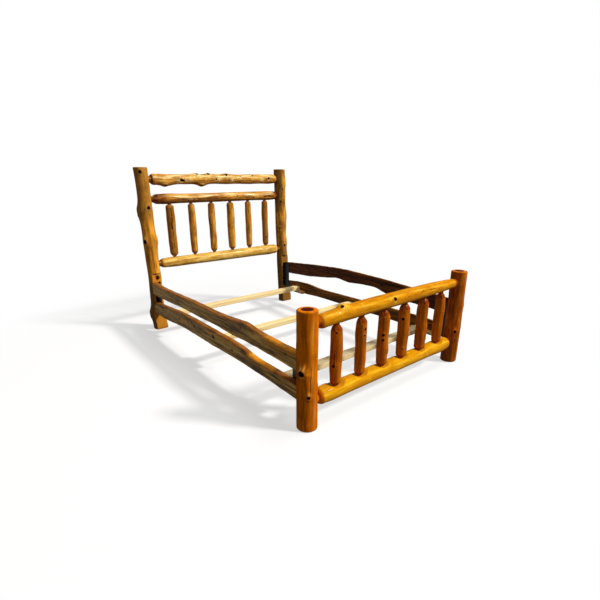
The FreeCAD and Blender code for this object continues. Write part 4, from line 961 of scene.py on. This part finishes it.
def make_slab(name, side, height, table, material, seed):
    """A slab with sawn faces and rounded, wandering live edges."""
    bm = bmesh.new()
    bmesh.ops.create_cube(bm, size=1.0)
    for axis, cuts in SLAB_CUTS:
        along = [edge for edge in bm.edges
                 if abs(edge.verts[0].co[axis] - edge.verts[1].co[axis]) > 0.5]
        bmesh.ops.subdivide_edges(bm, edges=along, cuts=cuts, use_grid_fill=True)
    corners = np.array([vert.co[:] for vert in bm.verts])
    # Shares of the thickness outward from the bed, of the length and of the height
    depth = corners[:, 0] * side + 0.5
    row = corners[:, 1] * 2.0
    up = corners[:, 2] + 0.5
    bottom = height + curve_through(table, 1, row) * SLAB_HALF_WIDTH + LIVE_SLANT * depth
    top = height + curve_through(table, 2, row) * SLAB_HALF_WIDTH - LIVE_SLANT * 0.5 * depth
    place = row * SLAB_HALF_LENGTH
    flat = np.column_stack([np.zeros(len(row)), place, up * 0.1])
    rough = noise_at(flat, (1.0, 16.0, 60.0), seed)
    wave = noise_at(flat, (1.0, 5.0, 8.0), seed + 4.0)
    crown = np.abs(depth - 0.5) * 2.0
    live = np.maximum(smooth(0.965, 1.0, up), 1.0 - smooth(0.0, 0.035, up))
    upward = np.where(up > 0.5, 1.0, -1.0)
    edge_noise = LIVE_BUMPS * rough + LIVE_BUMPS * wave - LIVE_BUMPS * upward
    z = lerp(bottom, top, up) - upward * live * LIVE_ROUND * crown ** 4 + live * edge_noise
    # Faces cupped and raised a little along the grain, always inside the board's thickness
    face = smooth(0.95, 1.0, crown)
    hollow = FACE_HOLLOW + GRAIN_HOLLOW * noise_at(flat, (1.0, 6.0, 110.0), seed + 9.0)
    hollow += LIVE_HOLLOW * live
    inward = np.where(depth > 0.5, 1.0, -1.0) * face
    knot = np.zeros(len(row))
    for where, level, size, outer in SLAB_KNOTS[name]:
        distance = np.hypot((place - where) * 0.6, z - level)
        here = face * (np.abs(depth - outer) < 0.5)
        knot = np.maximum(knot, (1.0 - smooth(size * 0.3, size * 1.1, distance)) * here)
    hollow += KNOT_HOLLOW * knot
    x = side * (INNER_FACE + depth * SLAB_THICKNESS - inward * hollow)
    low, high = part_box(name)
    points = np.clip(np.column_stack([x, place, z]), np.array(low), np.array(high))
    for vert, point in zip(bm.verts, points):
        vert.co = point
    edge = np.maximum(live, 0.50 * smooth(0.55, 1.0, up + 0.15 * wave))
    # A painted patch of sunlight along the upper face near the foot
    lowest, middle, reach, strength = PAINTED_SUN_PATCH.get(name, (1.0, 0.0, 0.0, 0.0))
    sun_patch = strength * smooth(lowest, 0.97, up + 0.08 * wave) * smooth(
        0.0, reach * 0.3, reach - np.abs(place - middle))
    finish_piece(bm, name + "_board", "left_rail" if side < 0 else "right_rail", name,
                 material, {"edge": edge, "knot": knot, "sun_patch": sun_patch},
                 SLAB_SHARP_ANGLE)


make_slab("left_upper_slab", -1, UPPER_HEIGHT, LEFT_UPPER, MATERIALS["left_slab"], 1.0)
make_slab("left_lower_slab", -1, LOWER_HEIGHT, LEFT_LOWER, MATERIALS["left_slab"], 2.0)
make_slab("right_upper_slab", 1, UPPER_HEIGHT, RIGHT_UPPER, MATERIALS["right_upper_slab"], 3.0)
make_slab("right_lower_slab", 1, LOWER_HEIGHT, RIGHT_LOWER, MATERIALS["right_lower_slab"], 4.0)


# Finishes of the pieces whose CAD shape is kept, by the first of these words in the node's name

FINISHES = {"plate": "black_steel", "strike": "black_steel", "screws": "zinc_screw",
            "cleat": "cleat", "foot_slat": "foot_slat", "_slat": "slat"}
for node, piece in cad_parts.items():
    finish = next((FINISHES[word] for word in FINISHES if word in node), None)
    if finish:
        for slot in piece.material_slots:
            slot.material = MATERIALS[finish]


# Floor, world, light and camera

FLOOR_SIZE = 14.0
FLOOR_DROP = -0.0005
FLOOR_SHADE = (0.12, 0.118, 0.115)
FLOOR_WHITE = (0.95, 0.95, 0.95)
# The floor is half white under the bed, so that its shadow stays pale, and all white beyond
FADE_START = 1.2
FADE_END = 3.0
LEAST_WHITE = 0.55
WORLD_TINT = (1.0, 0.99, 0.97)
WORLD_STRENGTH = 0.22
# Name, kind, place, aim, energy, angle or size, and colour
LAMPS = [
    ("key_sun", "SUN", (1.968, -2.348, 2.772), (0.0, 0.0, 0.2), 3.4, math.radians(8.0),
     (1.0, 0.98, 0.94)),
    ("top_soft", "AREA", (0.6, -1.2, 3.4), (0.0, 0.2, 0.4), 40.0, 1.6, (1.0, 1.0, 1.0)),
    ("front_soft", "AREA", (-2.4, -3.6, 2.2), (0.0, -0.2, 0.4), 7.0, 2.5, (1.0, 1.0, 1.0)),
]
# The camera that was fitted to the photograph: lens in millimetres, yaw from +Y toward +X and
# pitch down in degrees
CAMERA_LENS = 24.50
CAMERA_SHIFT = (-0.0034, 0.0451)
CAMERA_PLACE = (-1.9463, -2.4886, 1.2822)
CAMERA_YAW = 39.759
CAMERA_PITCH = 20.036


def make_floor():
    """A floor that catches a soft shadow and is white to the camera."""
    b = Builder(bpy.data.materials.new("floor_finish"))
    middle = b.add("ShaderNodeTexCoord")
    length = b.add("ShaderNodeVectorMath", operation="LENGTH")
    b.link(middle.outputs["Object"], length.inputs[0])
    fade = b.spread(length.outputs["Value"], FADE_START, FADE_END)
    white = b.plus(b.times(fade, 1.0 - LEAST_WHITE), LEAST_WHITE)
    seen = b.seen_rays()
    b.link(b.mix(seen, FLOOR_SHADE, FLOOR_WHITE), b.shader.inputs["Base Color"])
    b.shader.inputs["Roughness"].default_value = 0.9
    b.shader.inputs["Specular IOR Level"].default_value = 0.05
    glow = b.add("ShaderNodeEmission").outputs["Emission"]
    b.link(b.blend(b.times(white, seen), b.shader.outputs["BSDF"], glow),
           b.tree.nodes["Material Output"].inputs["Surface"])
    bm = bmesh.new()
    bmesh.ops.create_grid(bm, x_segments=8, y_segments=8, size=FLOOR_SIZE)
    mesh = bpy.data.meshes.new("studio_floor")
    bm.to_mesh(mesh)
    bm.free()
    mesh.materials.append(b.owner)
    floor = bpy.data.objects.new("studio_floor", mesh)
    floor.location = (0.0, 0.0, FLOOR_DROP)
    bpy.context.scene.collection.objects.link(floor)


def make_world():
    """A soft world that lights the bed, white to the rays that show the studio."""
    world = bpy.data.worlds.new("studio")
    bpy.context.scene.world = world
    w = Builder(world)
    w.tree.nodes.clear()
    lights = []
    for colour, strength in ((WORLD_TINT, WORLD_STRENGTH), ((1.0, 1.0, 1.0), 1.0)):
        light = w.add("ShaderNodeBackground")
        w.feed(light.inputs["Color"], colour)
        w.feed(light.inputs["Strength"], strength)
        lights.append(light.outputs["Background"])
    w.link(w.blend(w.seen_rays(), *lights), w.add("ShaderNodeOutputWorld").inputs["Surface"])


def make_lamp(name, kind, place, target, energy, size, colour):
    """A lamp aimed at a point. The size of a sun is its angle."""
    data = bpy.data.lights.new(name, kind)
    data.energy = energy
    data.color = colour
    if kind == "AREA":
        data.shape = "DISK"
        data.size = size
    else:
        data.angle = size
    lamp = bpy.data.objects.new(name, data)
    bpy.context.scene.collection.objects.link(lamp)
    lamp.location = place
    aim = Vector(target) - Vector(place)
    lamp.rotation_euler = aim.to_track_quat("-Z", "Y").to_euler()


make_floor()
make_world()
for row in LAMPS:
    make_lamp(*row)

camera_data = bpy.data.cameras.new("camera")
camera_data.sensor_fit = "HORIZONTAL"
camera_data.sensor_width = 36.0
camera_data.lens = CAMERA_LENS
camera_data.shift_x, camera_data.shift_y = CAMERA_SHIFT
camera_data.dof.use_dof = False
camera = bpy.data.objects.new("camera", camera_data)
bpy.context.scene.collection.objects.link(camera)
camera.location = CAMERA_PLACE
yaw = math.radians(CAMERA_YAW)
pitch = math.radians(CAMERA_PITCH)
forward = Vector((math.sin(yaw) * math.cos(pitch), math.cos(yaw) * math.cos(pitch),
                  -math.sin(pitch)))
camera.rotation_euler = forward.to_track_quat("-Z", "Y").to_euler()
bpy.context.scene.camera = camera

bpy.context.scene.view_settings.view_transform = "Standard"
